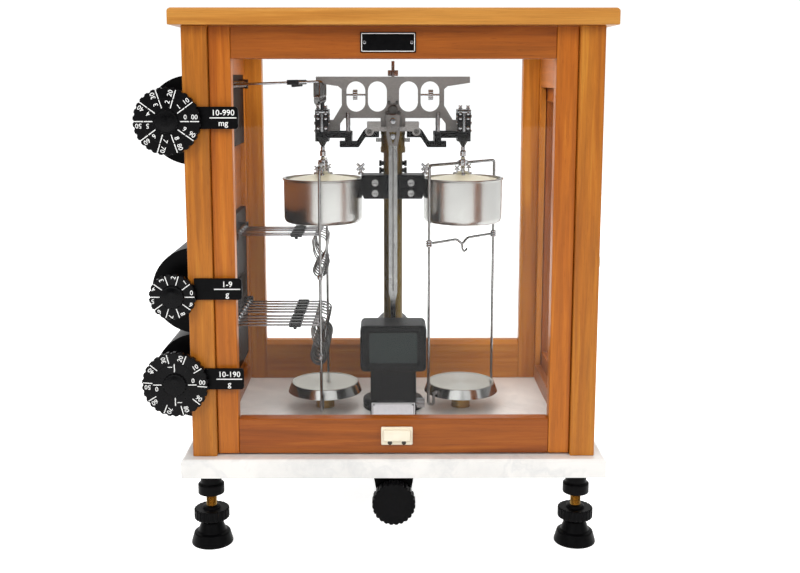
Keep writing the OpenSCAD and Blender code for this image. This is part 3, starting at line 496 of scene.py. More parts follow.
def marble_stone():
    p = Paint("marble", Coat_Weight=0.25, Coat_Roughness=0.08)
    warp = p.noise(p.place, 6, 5, 0.6)
    bent_place = p.new("ShaderNodeVectorMath", operation="MULTIPLY_ADD")
    p.link(warp, bent_place.inputs[0])
    bent_place.inputs[1].default_value = (0.12, 0.16, 0.1)
    p.link(p.place, bent_place.inputs[2])
    veins = p.noise(bent_place.outputs[0], 9, 8, 0.62, 0.8)
    cloud = p.noise(p.place, 12, 6, 0.6, 0.5)
    base = p.ramp(cloud, [(0.34, linear("DCDBD8")), (0.55, linear("ECEAE6")), (0.8, linear("F3F1EC"))])
    lines = p.ramp(veins, [(0.44, 0.0), (0.495, 1.0), (0.55, 0.0)])
    p.color(p.mix(p.mix(0.2, BLACK, lines), base, linear("B4B8BC")))
    p.rough(cloud, 0.16, 0.3)
    return p.bump(p.noise(p.place, 400, 3, 0.5), 0.04, 0.0001).mat


def pane_glass():
    """Thin glass that lets light through and mirrors more of it at a slant."""
    p = Paint("pane_glass")
    p.tree.nodes.remove(p.shader)
    clear = p.new("ShaderNodeBsdfTransparent")
    gloss = p.new("ShaderNodeBsdfGlossy")
    gloss.inputs["Roughness"].default_value = 0.02
    cloud = p.noise(p.place, 5, 3, 0.5)
    tint = p.ramp(cloud, [(0.3, (0.995, 0.998, 0.997, 1)), (0.7, (0.998, 1, 0.999, 1))])
    p.link(tint, clear.inputs["Color"])
    facing = p.new("ShaderNodeLayerWeight")
    facing.inputs["Blend"].default_value = 0.5
    steep = calc(p.tree, "POWER", facing.outputs["Facing"], 5)
    mixed = p.new("ShaderNodeMixShader")
    p.link(calc(p.tree, "MULTIPLY_ADD", steep, 0.6, 0.012), mixed.inputs[0])
    p.link(clear.outputs[0], mixed.inputs[1])
    p.link(gloss.outputs[0], mixed.inputs[2])
    p.link(mixed.outputs[0], p.out.inputs[0])
    return p.mat


POST = wood("post_wood", "7A380A", "B2661A", "C68630")
TOP = wood("top_wood", "A0601E", "C08034", "D0984A", 0.25)
STILE = wood("stile_wood", "7C3408", "B26016", "CA7C28")
RAIL = wood("rail_wood", "622808", "944A12", "AE6420")
SIDE = wood("side_wood", "5E2A0C", "925020", "B47034")
MARBLE = marble_stone()
GLASS = pane_glass()
ENAMEL = plain("black_enamel", "050506", "0A0A0B", 0.36, 0.06, 90, 0.06, Specular_IOR_Level=0.06)
BOARD = plain("dark_board", "140D0A", "22150F", 0.5, 0.08, 40, 0.08, Specular_IOR_Level=0.04)
PLASTIC = plain("black_plastic", "060607", "0C0C0D", 0.36, 0.05, 300, 0.05, Specular_IOR_Level=0.06)
DIAL = plain("dial_plastic", "060607", "0C0C0D", 0.22, 0.05, 300, 0.04, "Y", Anisotropic=0.85,
             Specular_IOR_Level=0.1)
WHITE = plain("white_paint", "E8E8E6", "F6F6F4", 0.5, 0.05, 400, 0.05)
BRONZE = plain("bronze", "58481F", "68562C", 0.34, 0.05, 60, 0.04, Metallic=0.85, Specular_IOR_Level=0.1)
CHROME = plain("chrome", "A6A6A8", "B8B8BA", 0.12, 0.04, 150, 0.03, Metallic=1.0)
STEEL = plain("steel", "7E7D7C", "959493", 0.2, 0.05, 200, 0.05, Metallic=1.0)
DARK_STEEL = plain("dark_steel", "4A4846", "62605E", 0.3, 0.06, 200, 0.05, Metallic=1.0)
BRASS = plain("brass", "B08A48", "C8A35E", 0.25, 0.06, 150, 0.05, Metallic=1.0)
SPUN = spun("spun_aluminium", "AFAEAB", "BBBAB7", 0.2, 0.88)
SKIRT = spun("pan_skirt", "B4B4B2", "CCCBC9", 0.16, 0.5)
LID = plain("pale_lid", "ABA68F", "B7B29B", 0.32, 0.06, 50, 0.04, Metallic=0.15)
BEAM = plain("beam_metal", "605E5C", "6C6A68", 0.48, 0.06, 500, 0.12, Metallic=0.4)
CHEEK = plain("cheek_metal", "807E7C", "908E8C", 0.4, 0.06, 400, 0.1, Metallic=0.5)
AGATE = plain("agate", "8A4A38", "B27A62", 0.15, 0.04, 120, 0.02)
DARK = plain("dark_metal", "0E0E10", "181819", 0.32, 0.06, 120, 0.06, Specular_IOR_Level=0.3)
SILVER = plain("plate_silver", "C6C6CA", "D0D0D4", 0.32, 0.05, 300, 0.04, Metallic=0.2)
CREAM = plain("cream_plastic", "E6DCC4", "EFE7D2", 0.3, 0.05, 80, 0.03, Coat_Weight=0.3)
SCREEN = plain("screen_glass", "0E1716", "141F1D", 0.3, 0.04, 20, 0.02, Specular_IOR_Level=0.2)
# Painted shade for recesses: the pointer's groove and the holes in the sash pull are dark strips and discs
# of it. The data plate's border line is print in the same colour.
RECESS_SHADE_AND_PRINT = plain("painted_recess_shade_and_print", "2A2620", "3A342C", 0.6, 0.05, 200, 0.02)


def keep(node, material):
    """A CAD node that is shown as it is, with a better material."""
    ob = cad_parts[node]
    ob.data.materials.clear()
    ob.data.materials.append(material)


def dress(node, materials, body, slot, width=0.5, mat=0, axis=0, segments=2):
    """A CAD node's own shape with rounded edges stands for it."""
    shape = Shape().add(cad_shape(node, width, segments), mat, axis).islands()
    shape.make(node + "_finished", materials, body, slot, node)


# Small parts that several pieces carry


def screw(shape, place, direction, radius, height, mat=0):
    """A cheese-head screw, with its head's top at place + direction * height."""
    profile = [(radius, 0), (radius, height * 0.7), (radius * 0.8, height), (0, height)]
    shape.add(turned(profile, 0.25, 24), mat, at=toward(place, direction))


def wings(shape, at, tilt, reach, radius, sides, mat=0):
    """The two crossed wires on top of a thumb screw."""
    for t in (-tilt, tilt):
        way = Vector((cos(radians(t)), 0, sin(radians(t))))
        shape.add(tube([way * -reach, way * reach], radius, sides), mat, at=at)


def thumb_screw(shape, x, y, z, mat, height, spread):
    """A screw with crossed wires for the fingers."""
    shape.add(tube([(0, 0, 0), (0, 0, height)], 0.9, 10), mat, at=moved(x, y, z))
    wings(shape, moved(x, y, z + height), 42, spread, 0.75, 8, mat)


def border(x0, x1, v0, v1, width):
    """The limits of four strips along the inside of a rectangle."""
    return ((x0, x1, v0, v0 + width), (x1 - width, x1, v0, v1),
            (x0, x1, v1 - width, v1), (x0, x0 + width, v0, v1))


# The case

dress("base_slab", [MARBLE], "case", "marble", 1.2, segments=3)
dress("top_board", [TOP], "case", "pale_wood", 0.9, segments=3)
dress("corner_posts", [POST], "case", "wood", 1.0, axis=2, segments=3)
dress("side_rails", [SIDE], "case", "side_wood", 0.8, axis=1)

REAR_FRONT, REAR_BACK, REAR_X = 121.5, 135.5, 149.9
SILL_Z, SILL_CUT, HEAD_RAIL_Z = 137.0, 5.0, 467.0
rear = Shape()
for s in (-1, 1):
    rear.add(box(s * 150, s * 169, REAR_FRONT, REAR_BACK, FLOOR_Z, ROOF_Z, 0.8), axis=2, shift=4 + s)
sill = [(REAR_FRONT, FLOOR_Z), (REAR_BACK, FLOOR_Z), (REAR_BACK, SILL_Z), (REAR_FRONT + SILL_CUT, SILL_Z),
        (REAR_FRONT, SILL_Z - SILL_CUT)]
rear.add(slab([(-REAR_X, y, z) for y, z in sill], (2 * REAR_X, 0, 0), 0.6), shift=7)
rear.add(box(-REAR_X, REAR_X, REAR_FRONT, REAR_BACK, HEAD_RAIL_Z, ROOF_Z, 0.8), shift=9)
rear.make("rear_frame_boards", [POST], "case", "wood", "rear_frame")
keep("rear_pane", GLASS)

LEVER_X, MG_LEVER_Z, GRAM_LEVER_Z, TEN_LEVER_Z = -163.0, 439.0, 284.0, 195.0


def board_material(c, n):
    """Wood, but for the pivot shafts."""
    heights = (MG_LEVER_Z, GRAM_LEVER_Z, TEN_LEVER_Z)
    return 1 if abs(c.x - LEVER_X) < 1.6 and any(abs(c.z - z) < 1.6 for z in heights) else 0


dress("lever_boards", [BOARD, STEEL], "case", "black_enamel", 0.5, mat=board_material)
dress("dial_housings", [ENAMEL], "case", "black_enamel", 1.2, segments=3)
for node, width in (("damper_bracket", 0.6), ("knob_bracket", 0.8), ("lamp_housing", 0.6)):
    dress(node, [ENAMEL], "case", "black_enamel", width)
dress("bracket_screws", [STEEL], "case", "chrome_metal", 0.25)

# The column

COLUMN_R, COLUMN_TOP, FLANGE_R, FLANGE_TOP = 10.0, 368.0, 32.5, 102.2
PIN_X, PIN_Z, PIN_FACE = 24.5, 390.3, 10.45


def column_material(c, n):
    """Bronze above its black flange."""
    return 1 if c.z < FLANGE_TOP - 0.1 and hypot(c.x, c.y) > COLUMN_R + 0.2 else 0


column = Shape()
column.add(turned([(0, FLOOR_Z), (FLANGE_R, FLOOR_Z), (FLANGE_R, 100), (29.5, 100.4), (16, 102),
                   (COLUMN_R, FLANGE_TOP), (COLUMN_R, COLUMN_TOP), (0, COLUMN_TOP)], 0.6, 96),
           mat=column_material, at=moved(0, BEAM_Y))
column.make("column_turned", [BRONZE, ENAMEL], "case", "bronze", "column_tube")


def head_material(c, n):
    """Bronze, but for the cheeks and the faces of the two pivot pins."""
    x, y = abs(c.x), abs(c.y - BEAM_Y)
    if hypot(x - PIN_X, c.z - PIN_Z) < 2.6 and y > PIN_FACE:
        return 2
    return 1 if c.z > PIN_Z or x > 13.5 or (abs(n.y) > 0.9 and 7 < y < 11) else 0


dress("column_head", [BRONZE, CHEEK, DARK_STEEL], "case", "bronze", 0.3, mat=head_material)
fittings = Shape()
for s in (-1, 1):
    fittings.add(tube(circle(2.1, 32, (s * PIN_X, 3.7, PIN_Z)), 0.55, 8, True), 1)
screw(fittings, (0, 1.6, 385), -Y, 3.2, 1.3)
for s in (-1, 1):
    for z in (349, 356.5):
        fittings.add(turned([(0, 0), (2.2, 0), (2.2, 2.4), (3.2, 2.4), (3.2, 5.0), (0, 5.0)], 0.3, 24), 1,
                     at=toward((s * 9.6, BEAM_Y, z), s * X))
    stud_x, stud_y, stud_z = s * 34, BEAM_Y - 6, 345
    fittings.add(turned([(0, 0), (3, 0), (3, 2.4), (1.6, 2.8), (1.6, 6), (0, 6)], 0.3, 20),
                 at=moved(stud_x, stud_y, stud_z))
    wings(fittings, moved(stud_x, stud_y, stud_z + 8), 40, 5.2, 1.35, 12)
    for y in (BEAM_Y - 12, BEAM_Y + 12):
        screw(fittings, (s * 23, y, 100.2), Z, 2.8, 2.2)
fittings.make("column_fittings", [CHROME, ENAMEL], "case", "chrome_metal")

level = Shape()
level_at = moved(0, 37.5)
level.add(turned([(0, 345), (8, 345), (8, 356), (6.4, 356), (6.2, 354.4), (0, 354.4)], 0.4, 48), at=level_at)
level.add(turned([(6.1, 354.5), (5.2, 355.6), (0, 355.9)], 0.3, 32), 1, at=level_at)
level.make("bubble_level_turned", [ENAMEL, SCREEN], "case", "black_enamel", "bubble_level")

CUP_LOW, CUP_TOP, CUP_R, CUP_RIM_R = 294.0, 341.5, 41.5, 42.9
for s, side in SIDES:
    cup = Shape()
    wall = [(0, CUP_LOW), (36.5, CUP_LOW), (40, CUP_LOW + 1.5), (CUP_R, CUP_LOW + 5), (CUP_R, CUP_TOP - 2.3),
            (CUP_RIM_R, CUP_TOP - 1.7), (CUP_RIM_R, CUP_TOP), (39.6, CUP_TOP), (39.5, CUP_LOW + 5),
            (35.5, CUP_LOW + 2), (0, CUP_LOW + 2)]
    cup.add(turned(wall, 0.8, 128), at=moved(s * ARM, BEAM_Y))
    cup.make(side + "_damper_cup", [SPUN], "case", "spun_aluminium", "damper_cups")

# The sockets under the slab

SOCKET_TOP = 72.9
sockets = Shape()
front_socket = [(0, SOCKET_TOP), (10, SOCKET_TOP), (10, 60.5), (12.5, 59.5), (12.5, 50.2), (10.8, 50.1),
                (5.2, 50.1), (0, 50.3)]
rear_foot = [(0, SOCKET_TOP), (11, SOCKET_TOP), (11, 59.5), (9, 58.5), (13, 12), (17.2, 11.6), (19.9, 1.5),
             (19.6, 0), (0, 0)]
for s in (-1, 1):
    sockets.add(turned(front_socket, 0.8, 48), at=moved(s * FOOT_X, -FOOT_Y))
sockets.add(turned(rear_foot, 0.8, 48), at=moved(0, FOOT_Y))
sockets.make("foot_sockets_turned", [ENAMEL], "case", "black_enamel", "foot_sockets")

# The optical screen: a bezel of rounded rectangles, one behind the other, on its stand

SCREEN_Z, STAND_X, STAND_FOOT_Y = 176.0, 23.2, -84.0


def rounded_rectangle(half_w, half_h, radius, y):
    """A ring of points about the middle of the screen."""
    made = []
    steps = 6
    for k, (sx, sz) in enumerate(((1, 1), (-1, 1), (-1, -1), (1, -1))):
        for i in range(steps + 1):
            a = radians(90 * k + 90 * i / steps)
            made.append((sx * (half_w - radius) + radius * cos(a), y,
                         SCREEN_Z + sz * (half_h - radius) + radius * sin(a)))
    return made


def bridged(rings):
    """A shape between rings of as many points each, with the first ring closed."""
    bm = bmesh.new()
    made = [[bm.verts.new(p) for p in ring] for ring in rings]
    bands(bm, made)
    bm.faces.new(made[0][::-1])
    return outward(bm)


# Half width, half height, corner radius and Y, from the back round the front edge to the glass
BEZEL = ((32.6, 23.1, 4, -30.6), (33.4, 23.9, 5, -31.6), (33.4, 23.9, 5, -66.6), (32.9, 23.4, 4.8, -67.8),
         (32.0, 22.5, 4.4, -68.4), (27.2, 18.8, 3.4, -68.4), (26.6, 18.2, 3.0, -68.1),
         (24.4, 16.0, 2.0, -65.6), (24.2, 15.8, 2.0, -64.4))
screen = Shape()
screen.add(bridged([rounded_rectangle(*ring) for ring in BEZEL]))
stand = [(STAND_FOOT_Y, 91.1), (-62, 121), (-62, 152.2), (-34.6, 152.2), (-34.6, 91.1)]
screen.add(slab([(-STAND_X, y, z) for y, z in stand], (2 * STAND_X, 0, 0), 0.9, 3))
screen.add(turned([(0, 0), (4, 0), (4, 5.9), (0, 5.9)], 0.5, 24), at=toward((-23.1, -52, 115), -X))
screen.make("screen_and_stand", [ENAMEL], "case", "black_enamel", "screen_housing")
keep("screen_glass", SCREEN)

# The plate lies on the stand's slope, which rises by 30 over 22
plate_at = moved(0, STAND_FOOT_Y, FLOOR_Z) @ Matrix.Rotation(atan2(30, 22), 4, "X")
plate = Shape()
plate.add(box(-22, 22, 3, 34, 0, 0.75, 0.2), at=plate_at)
for x in (-19.6, 19.6):
    for y in (5.4, 31.6):
        plate.add(turned([(0, 0.7), (1.1, 0.7), (1.0, 0.98), (0, 1.05)], 0.1, 16), 1,
                  at=plate_at @ moved(x, y))
for x0, x1, y0, y1 in border(-21.1, 21.1, 3.9, 33.1, 0.6):
    plate.add(box(x0, x1, y0, y1, 0.7, 0.8, 0), 2, at=plate_at)
plate.make("bare_data_plate", [SILVER, CHROME, RECESS_SHADE_AND_PRINT], "case", "plate_silver", "data_plate")

# The index tabs, with the ranges of the dials


def tab_outline(x0, x1, z0, z1, r, y):
    """A rectangle with its two right-hand corners rounded."""
    made = [(x0, y, z0)]
    for cz, start in ((z0 + r, -90), (z1 - r, 0)):
        for angle in (radians(start + k * 15) for k in range(7)):
            made.append((x1 - r + r * cos(angle), y, cz + r * sin(angle)))
    return made + [(x0, y, z1)]


TAB_LEFT, TAB_RIGHT, TAB_HALF, TAB_FRONT = -184.0, -140.0, 10.0, -145.4
LABEL_X, LABEL_Y, LABEL_SIZE = -153.4, -145.5, 7.4
tabs = Shape()
marks = Shape()
for z, first, second in ((410, "10-990", "mg"), (253, "1-9", "g"), (167.5, "10-190", "g")):
    outline = tab_outline(TAB_LEFT, TAB_RIGHT, z - TAB_HALF, z + TAB_HALF, 3, TAB_FRONT)
    tabs.add(slab(outline, (0, 2.9, 0), 0.4))
    marks.add(box(-165.5, -141.5, -145.62, -145.3, z - 0.45, z + 0.45, 0))
    marks.add(letters(first, LABEL_SIZE), at=moved(LABEL_X, LABEL_Y, z + 4.4))
    marks.add(letters(second, LABEL_SIZE), at=moved(LABEL_X, LABEL_Y, z - 4.9))
tabs.make("index_tabs_finished", [PLASTIC], "case", "black_plastic", "index_tabs")
marks.make("index_marks", [WHITE], "case", "black_plastic")

# Sash and door

SASH_FRONT, SASH_BACK, SASH_LOW, SASH_HIGH, SASH_IN = -138.5, -124.5, 92.5, 491.5, 146.6
sash = Shape()
for s in (-1, 1):
    sash.add(box(s * 146.7, s * 166.6, SASH_FRONT, SASH_BACK, SASH_LOW, SASH_HIGH, 1.2, 3), 1,
             axis=2, shift=14 + s)
    sash.add(box(s * 166, s * 170.6, -133.5, -129.5, 92.6, 491.4, 0.3), 1, axis=2, shift=17)
for z0, z1, shift in ((SASH_LOW, 126.5, 19), (462.5, SASH_HIGH, 23)):
    sash.add(box(-SASH_IN, SASH_IN, SASH_FRONT + 0.1, SASH_BACK - 0.1, z0, z1, 1.2, 3), shift=shift)
sash.make("sash_boards", [RAIL, STILE], "sash", "frame_wood", "sash_frame")
keep("sash_pane", GLASS)

pull = Shape()
pull.add(box(-12, 18, -142.4, SASH_FRONT, 101.8, 119.2, 1.2, 3))
pull.add(box(-10, 16, -148.4, -141.6, 107.2, 117.9, 1.6, 3))
# Two flat dark discs of painted shade stand for the holes in the pull's face.
for x in (-3.6, 9.6):
    pull.add(turned([(0, 0), (2.2, 0), (2.0, 0.08), (0, 0.08)], 0.05, 20), 1,
             at=toward((x, -142.42, 104.3), -Y))
pull.make("sash_pull_finished", [CREAM, RECESS_SHADE_AND_PRINT], "sash", "cream_plastic", "sash_pull")

sign = Shape()
sign.add(box(-30, 20, -139.7, SASH_FRONT, 468, 486, 0.3))
for x0, x1, z0, z1 in border(-29, 19, 468.9, 485.1, 0.6):
    sign.add(box(x0, x1, -139.78, -139.6, z0, z1, 0), 1)
for x in (-26.2, 16.2):
    screw(sign, (x, -139.6, 477), -Y, 1.5, 0.5, 2)
sign.make("bare_name_plate", [PLASTIC, WHITE, CHROME], "sash", "plate_black", "name_plate")

DOOR_IN, DOOR_OUT, DOOR_LOW, DOOR_HIGH, DOOR_BOARD = 176.5, 184.5, 105.0, 439.0, 20.0
DOOR_FRONT, DOOR_BACK = -112.2, 135.0
door = Shape()
for y, shift in ((DOOR_FRONT, 26), (DOOR_BACK - DOOR_BOARD, 27)):
    door.add(box(DOOR_IN, DOOR_OUT, y, y + DOOR_BOARD, DOOR_LOW, DOOR_HIGH, 0.9), axis=2, shift=shift)
for z, shift in ((DOOR_LOW, 29), (DOOR_HIGH - DOOR_BOARD, 30)):
    door.add(box(DOOR_IN + 0.1, DOOR_OUT - 0.1, DOOR_FRONT + DOOR_BOARD - 0.1, DOOR_BACK - DOOR_BOARD + 0.1,
                 z, z + DOOR_BOARD, 0.9), axis=1, shift=shift)
door.make("door_boards", [RAIL], "door", "frame_wood", "door_frame")
keep("door_pane", GLASS)
knob = Shape().add(turned([(0, 0), (3, 0), (3, 7.5), (6.4, 8.4), (7, 10.6), (6.2, 13.2), (0, 14)], 0.8, 40),
                   at=toward((DOOR_OUT, DOOR_FRONT + DOOR_BOARD / 2, (DOOR_LOW + DOOR_HIGH) / 2 - 0.5), X))
knob.make("door_knob_turned", [CREAM], "door", "cream_plastic", "door_knob")

# Arrestment

ARREST_Y, ARREST_Z = -143.5, 48.0
arrest = Shape()
arrest.add(scalloped(20.5, 1.0, 24, 12, 1.5), at=toward((0, ARREST_Y, ARREST_Z), -Y))
arrest.add(turned([(0, 0), (15.5, 0.0), (15.5, 0.0), (12, 0.02)], 0.1, 48),
           at=toward((0, ARREST_Y - 11.9, ARREST_Z), -Y))
arrest.add(turned([(0, 0), (4, 0), (4, 166), (0, 166)], 0.4, 32), at=toward((0, ARREST_Y, ARREST_Z), Y))
arrest.add(turned([(0, 0), (9.5, 0), (9.5, 10), (0, 10)], 0.4, 40), at=toward((0, 9.5, ARREST_Z + 3.5), Y))
arrest.make("arrest_knob_turned", [PLASTIC], "knob", "black_plastic", "arrest_knob")
keep("lift_rod", STEEL)
rests = Shape()
for s in (-1, 1):
    rests.add(turned([(0, 68), (10, 68), (10, 113.6), (8.8, 114.9), (0, 114.9)], 0.5, 64),
              at=moved(s * ARM, BEAM_Y))
rests.make("pan_rests_turned", [BRASS], "lift", "brass_metal", "pan_rests")


def arm_material(c, n):
    """Black, but for the chrome studs that lift the beam."""
    return 1 if abs(abs(c.x) - 47) < 3.2 and c.z > 386.3 else 0


for s, side in SIDES:
    dress(side + "_arm", [ENAMEL, CHROME], side + "_arm", "black_enamel", 0.35, mat=arm_material)

# Beam

NUT_WIRE_Z, BLADE_LOW, SCALE_TOP, POINTER_Y = 428.0, 376.0, 222.0, -2.5
dress("beam_frame", [BEAM], "beam", "beam_metal", 0.35)
rods = Shape()
for s in (-1, 1):
    rods.add(tube([(s * 27, BEAM_Y, NUT_WIRE_Z), (s * 50.5, BEAM_Y, NUT_WIRE_Z)], 1.15, 12))
    screw(rods, (s * 4.3, 10.4, 420.5), -Y, 1.6, 1.2, 1)
    screw(rods, (s * 6.2, 7.6, 409.5), -Y, 2.0, 1.4, 1)
rods.add(tube([(0, BEAM_Y, 446.5), (0, BEAM_Y, 463)], 1.65, 14))
rods.add(turned([(0, 0), (6.3, 0), (6.3, 2.6), (4.6, 3.4), (0, 3.4)], 0.5, 40), 1,
         at=toward((0, 10.5, 412.5), -Y))
rods.add(turned([(0, 0), (3.2, 0), (3.2, 1.6), (2.6, 2.2), (0, 2.2)], 0.4, 32),
         at=toward((0, -2.4, 401.5), -Y))
rods.make("beam_fittings", [CHROME, DARK_STEEL], "beam", "steel_wire")
keep("knife_edges", AGATE)
blade = cad_shape("pointer", 0.25)
bmesh.ops.bisect_plane(blade, geom=blade.verts[:] + blade.edges[:] + blade.faces[:],
                       plane_co=(0, 0, BLADE_LOW), plane_no=Z)
pointer = Shape().add(blade, mat=lambda c, n: 1 if c.z > BLADE_LOW else 0)
pointer.make("pointer_finished", [STEEL, BEAM], "beam", "steel_wire", "pointer")
# A thin dark strip of painted shade stands for the groove down the pointer's face.
groove_shade = Shape().add(box(-0.5, 0.5, POINTER_Y - 0.06, POINTER_Y + 0.1, SCALE_TOP, BLADE_LOW - 1, 0))
groove_shade.make("pointer_groove_shade", [RECESS_SHADE_AND_PRINT], "beam", "steel_wire")
for node, body in (("left_balance_nut", "left_nut"), ("right_balance_nut", "right_nut"),
                   ("sensitivity_nut", "top_nut")):
    dress(node, [CHROME], body, "brass_metal", 0.2)

# Suspensions

HANGER_TOP, HANGER_LOW, LUG_X = 357.0, 104.0, 43.5
MG_RACK_Z, GRAM_RACK_Z, TEN_RACK_Z, HOOK_BAR_Z = 421.5, 246.0, 163.0, 276.0


def stirrup(side, x, body):
    """A stirrup in dark metal, with its chrome screws."""
    dress(side + "_stirrup", [DARK], body, "dark_metal", 0.3)
    details = Shape()
    for dx in (-4, 4):
        for z in (388, 394, 404, 409):
            screw(details, (x + dx, 1.6, z), -Y, 1.7, 1.1)
        thumb_screw(details, x + dx, BEAM_Y - 11, 412, 0, 3.6, 2.4)
    details.add(box(x - 1.2, x + 1.2, 0.9, 1.7, 386, 411, 0.3))
    details.add(box(x - 6.6, x + 6.6, 0.8, 1.7, 409.6, 412.4, 0.3))
    for z in (391, 399, 406):
        for out in (-1, 1):
            screw(details, (x + out * 7, BEAM_Y - 11.5, z), out * X, 1.5, 1.0)
    details.add(turned([(0, 364), (3.2, 364), (3.2, 369), (2.2, 370), (2.2, 374), (0, 374)], 0.4, 24),
                at=moved(x, BEAM_Y))
    details.make(side + "_stirrup_screws", [CHROME], body, "dark_metal")


def rack(wires, z, half, at):
    """A bar for ring weights across a hanger, with a ball at each end."""
    wires.add(tube([(-half - 4, 0, z), (half + 4, 0, z)], 1.5, 14), at=at)
    for k in (-1, 1):
        wires.add(turned([(0, -3.2), (1.9, -2.7), (3.2, 0), (1.9, 2.7), (0, 3.2)], 1.4, 24), 1,
                  at=at @ toward((k * (half + 5), 0, z), X))
        wires.add(box(-2.4, 2.4, -2.4, 2.4, -3, 3, 0.5), 1, at=at @ moved(k * half, 0, z))


def hook_bar(wires, z, half, at):
    """A bent bar across a hanger, with a hook in its middle and a coil at each end."""
    line = [(-half, 0, z), (-9, 0, z), (0, 0, z - 6), (9, 0, z), (half, 0, z)]
    hook = [(0, 0, z - 5.4), (0, 0, z - 11), (4, 0, z - 15), (8, 0, z - 12)]
    wires.add(tube(bent(line, 3, 6), 1.45, 12), at=at)
    wires.add(tube(bent(hook, 3, 6), 1.2, 10), at=at)
    for k in (-1, 1):
        for coil_z in (z - 2.4, z, z + 2.4):
            wires.add(tube(circle(2.4, 20, (k * half, 0, coil_z), X, Y), 1.1, 8, True), 1, at=at)


def hanger(side, here, turn, half, racks, body):
    """The wire frame from the stirrup's hook down to the pan's lugs."""
    turned_here = here @ Matrix.Rotation(radians(turn), 4, "Z")
    wires = Shape()
    for k in (-1, 1):
        path = bent([(0, 0, HANGER_TOP), (k * half, 0, HANGER_TOP), (k * half, 0, HANGER_LOW),
                     (k * LUG_X, 0, 101.5), (k * LUG_X, 0, 115)], 3.5, 8)
        wires.add(tube(path, 1.5, 14), at=turned_here)
    wires.add(turned([(0, 354), (5, 354), (5, 360), (2.6, 360), (2.6, 361), (0, 361)], 0.4, 32), 1, at=here)
    for k in range(4):
        a = radians(turn + 45 + 90 * k)
        way = Vector((cos(a), sin(a), 0))
        screw(wires, here @ (way * 4.8 + Vector((0, 0, HANGER_TOP))), way, 1.6, 1.4, 1)
    if racks:
        for z in (GRAM_RACK_Z, TEN_RACK_Z):
            rack(wires, z, half, turned_here)
    else:
        hook_bar(wires, HOOK_BAR_Z, half, turned_here)
    wires.make(side + "_hanger_wires", [STEEL, CHROME], body, "steel_wire", side + "_hanger")
    return turned_here


def damper_bell(side, x, here, body):
    """A bell with a conical lid, its boss, stem and screws."""
    bell = Shape()
    bell.add(turned([(36.3, 304), (37.5, 304), (37.5, 338), (35.6, 340), (7.4, 345), (7, 345.4), (7, 347.6),
                     (6.2, 348), (2.2, 348.2), (2, 349), (2, 363), (0, 363)], 0.5, 96), at=here)
    for k in range(3):
        a = radians(30 + 120 * k)
        screw(bell, here @ Vector((9.5 * cos(a), 9.5 * sin(a), 344.2)), Z, 1.8, 2.4, 1)
    for dx, dy, height in ((-6.4, -3.0, 5.4), (6.0, -3.6, 7.4), (-0.6, -8.2, 4.4)):
        thumb_screw(bell, x + dx, BEAM_Y + dy, 346.4, 1, height, 3.2)
    bell.make(side + "_bell_turned", [LID, CHROME], body, "pale_aluminium", side + "_damper_bell")


def pan_dish(side, x, here, turned_here, body):
    """A pan with its turned top, its skirt and the two lugs that carry it."""
    metal = radial(side + "_pan_steel", "A6A298", "B8B4AA", 0.22, (x, BEAM_Y))
    pan = Shape()
    pan.add(turned([(0, 116.5), (33.8, 116.5), (38.0, 108.5), (39.4, 108.5), (40, 108.9), (36.2, 118.3),
                    (35.6, 118.9), (34.6, 118.5), (34.0, 118.1), (0, 118.1)], 0.35, 160),
            mat=lambda c, n: 0 if n.z > 0.7 else 1, at=here)
    for k in (-1, 1):
        lug = [(k * LUG_X, 0, 113.5), (k * LUG_X, 0, 115.4), (k * 38.2, 0, 113.4)]
        pan.add(tube(bent(lug, 1.5, 5), 0.9, 10), 2, at=turned_here)
        pan.add(turned([(0, -2), (1.2, -1.7), (2, 0), (1.2, 1.7), (0, 2)], 0.8, 20), 2,
                at=turned_here @ moved(k * 39.8, 0, 114.0))
    pan.make(side + "_pan_turned", [metal, SKIRT, CHROME], body, "pan_steel", side + "_pan")


def suspension(s, side, turn, half, racks):
    """All that hangs from one end of the beam."""
    x, body = s * ARM, side + "_pan_set"
    here = moved(x, BEAM_Y)
    stirrup(side, x, body)
    turned_here = hanger(side, here, turn, half, racks, body)
    damper_bell(side, x, here, body)
    pan_dish(side, x, here, turned_here, body)


suspension(-1, "left", 90, 62, True)
suspension(1, "right", 45, 52, False)

# Feet

THREAD_LOW, THREAD_HIGH, THREAD_R, THREAD_ROOT = 37.4, 66.4, 5.0, 4.4
dress("zero_knob", [CHROME], "zero", "chrome_metal", 0.25)
for s, side in SIDES:
    here = moved(s * FOOT_X, -FOOT_Y)
    cup = Shape().add(turned([(0, 0), (19.8, 0), (20, 1.4), (17.2, 11.2), (13.6, 12), (12.6, 15), (10, 22),
                              (0, 22)], 0.9, 64), at=here)
    cup.make(side + "_foot_cup_turned", [ENAMEL], side + "_foot", "black_enamel", side + "_foot_cup")
    wheel = Shape()
    wheel.add(scalloped(16.75, 0.9, 24, 10, 1.4), at=here @ moved(0, 0, 25))
    wheel.add(turned([(0, 22.3), (8, 22.3), (8, 25), (0, 25)], 0.4, 40), at=here)
    wheel.add(turned([(0, 34.8), (9, 34.8), (8.2, 37), (5.2, 37.6), (0, 37.6)], 0.4, 40), at=here)
    ridges = [(0, THREAD_LOW)]
    z = THREAD_LOW
    while z < THREAD_HIGH:
        ridges += [(THREAD_ROOT, z), (THREAD_R, z + 0.5)]
        z += 1.0
    wheel.add(lathe(ridges + [(THREAD_ROOT, 67), (0, 67)], 40), 1, at=here)
    wheel.make(side + "_foot_wheel", [ENAMEL, BRASS], side + "_wheel", "foot_brass", side + "_foot_screw")

# Dials

DIAL_X, FACE_Y, BACK_Y = -203.0, -152.0, -146.2
CENTRE_R, KNOB_R, KNOB_H = 20.5, 11.0, 2.5


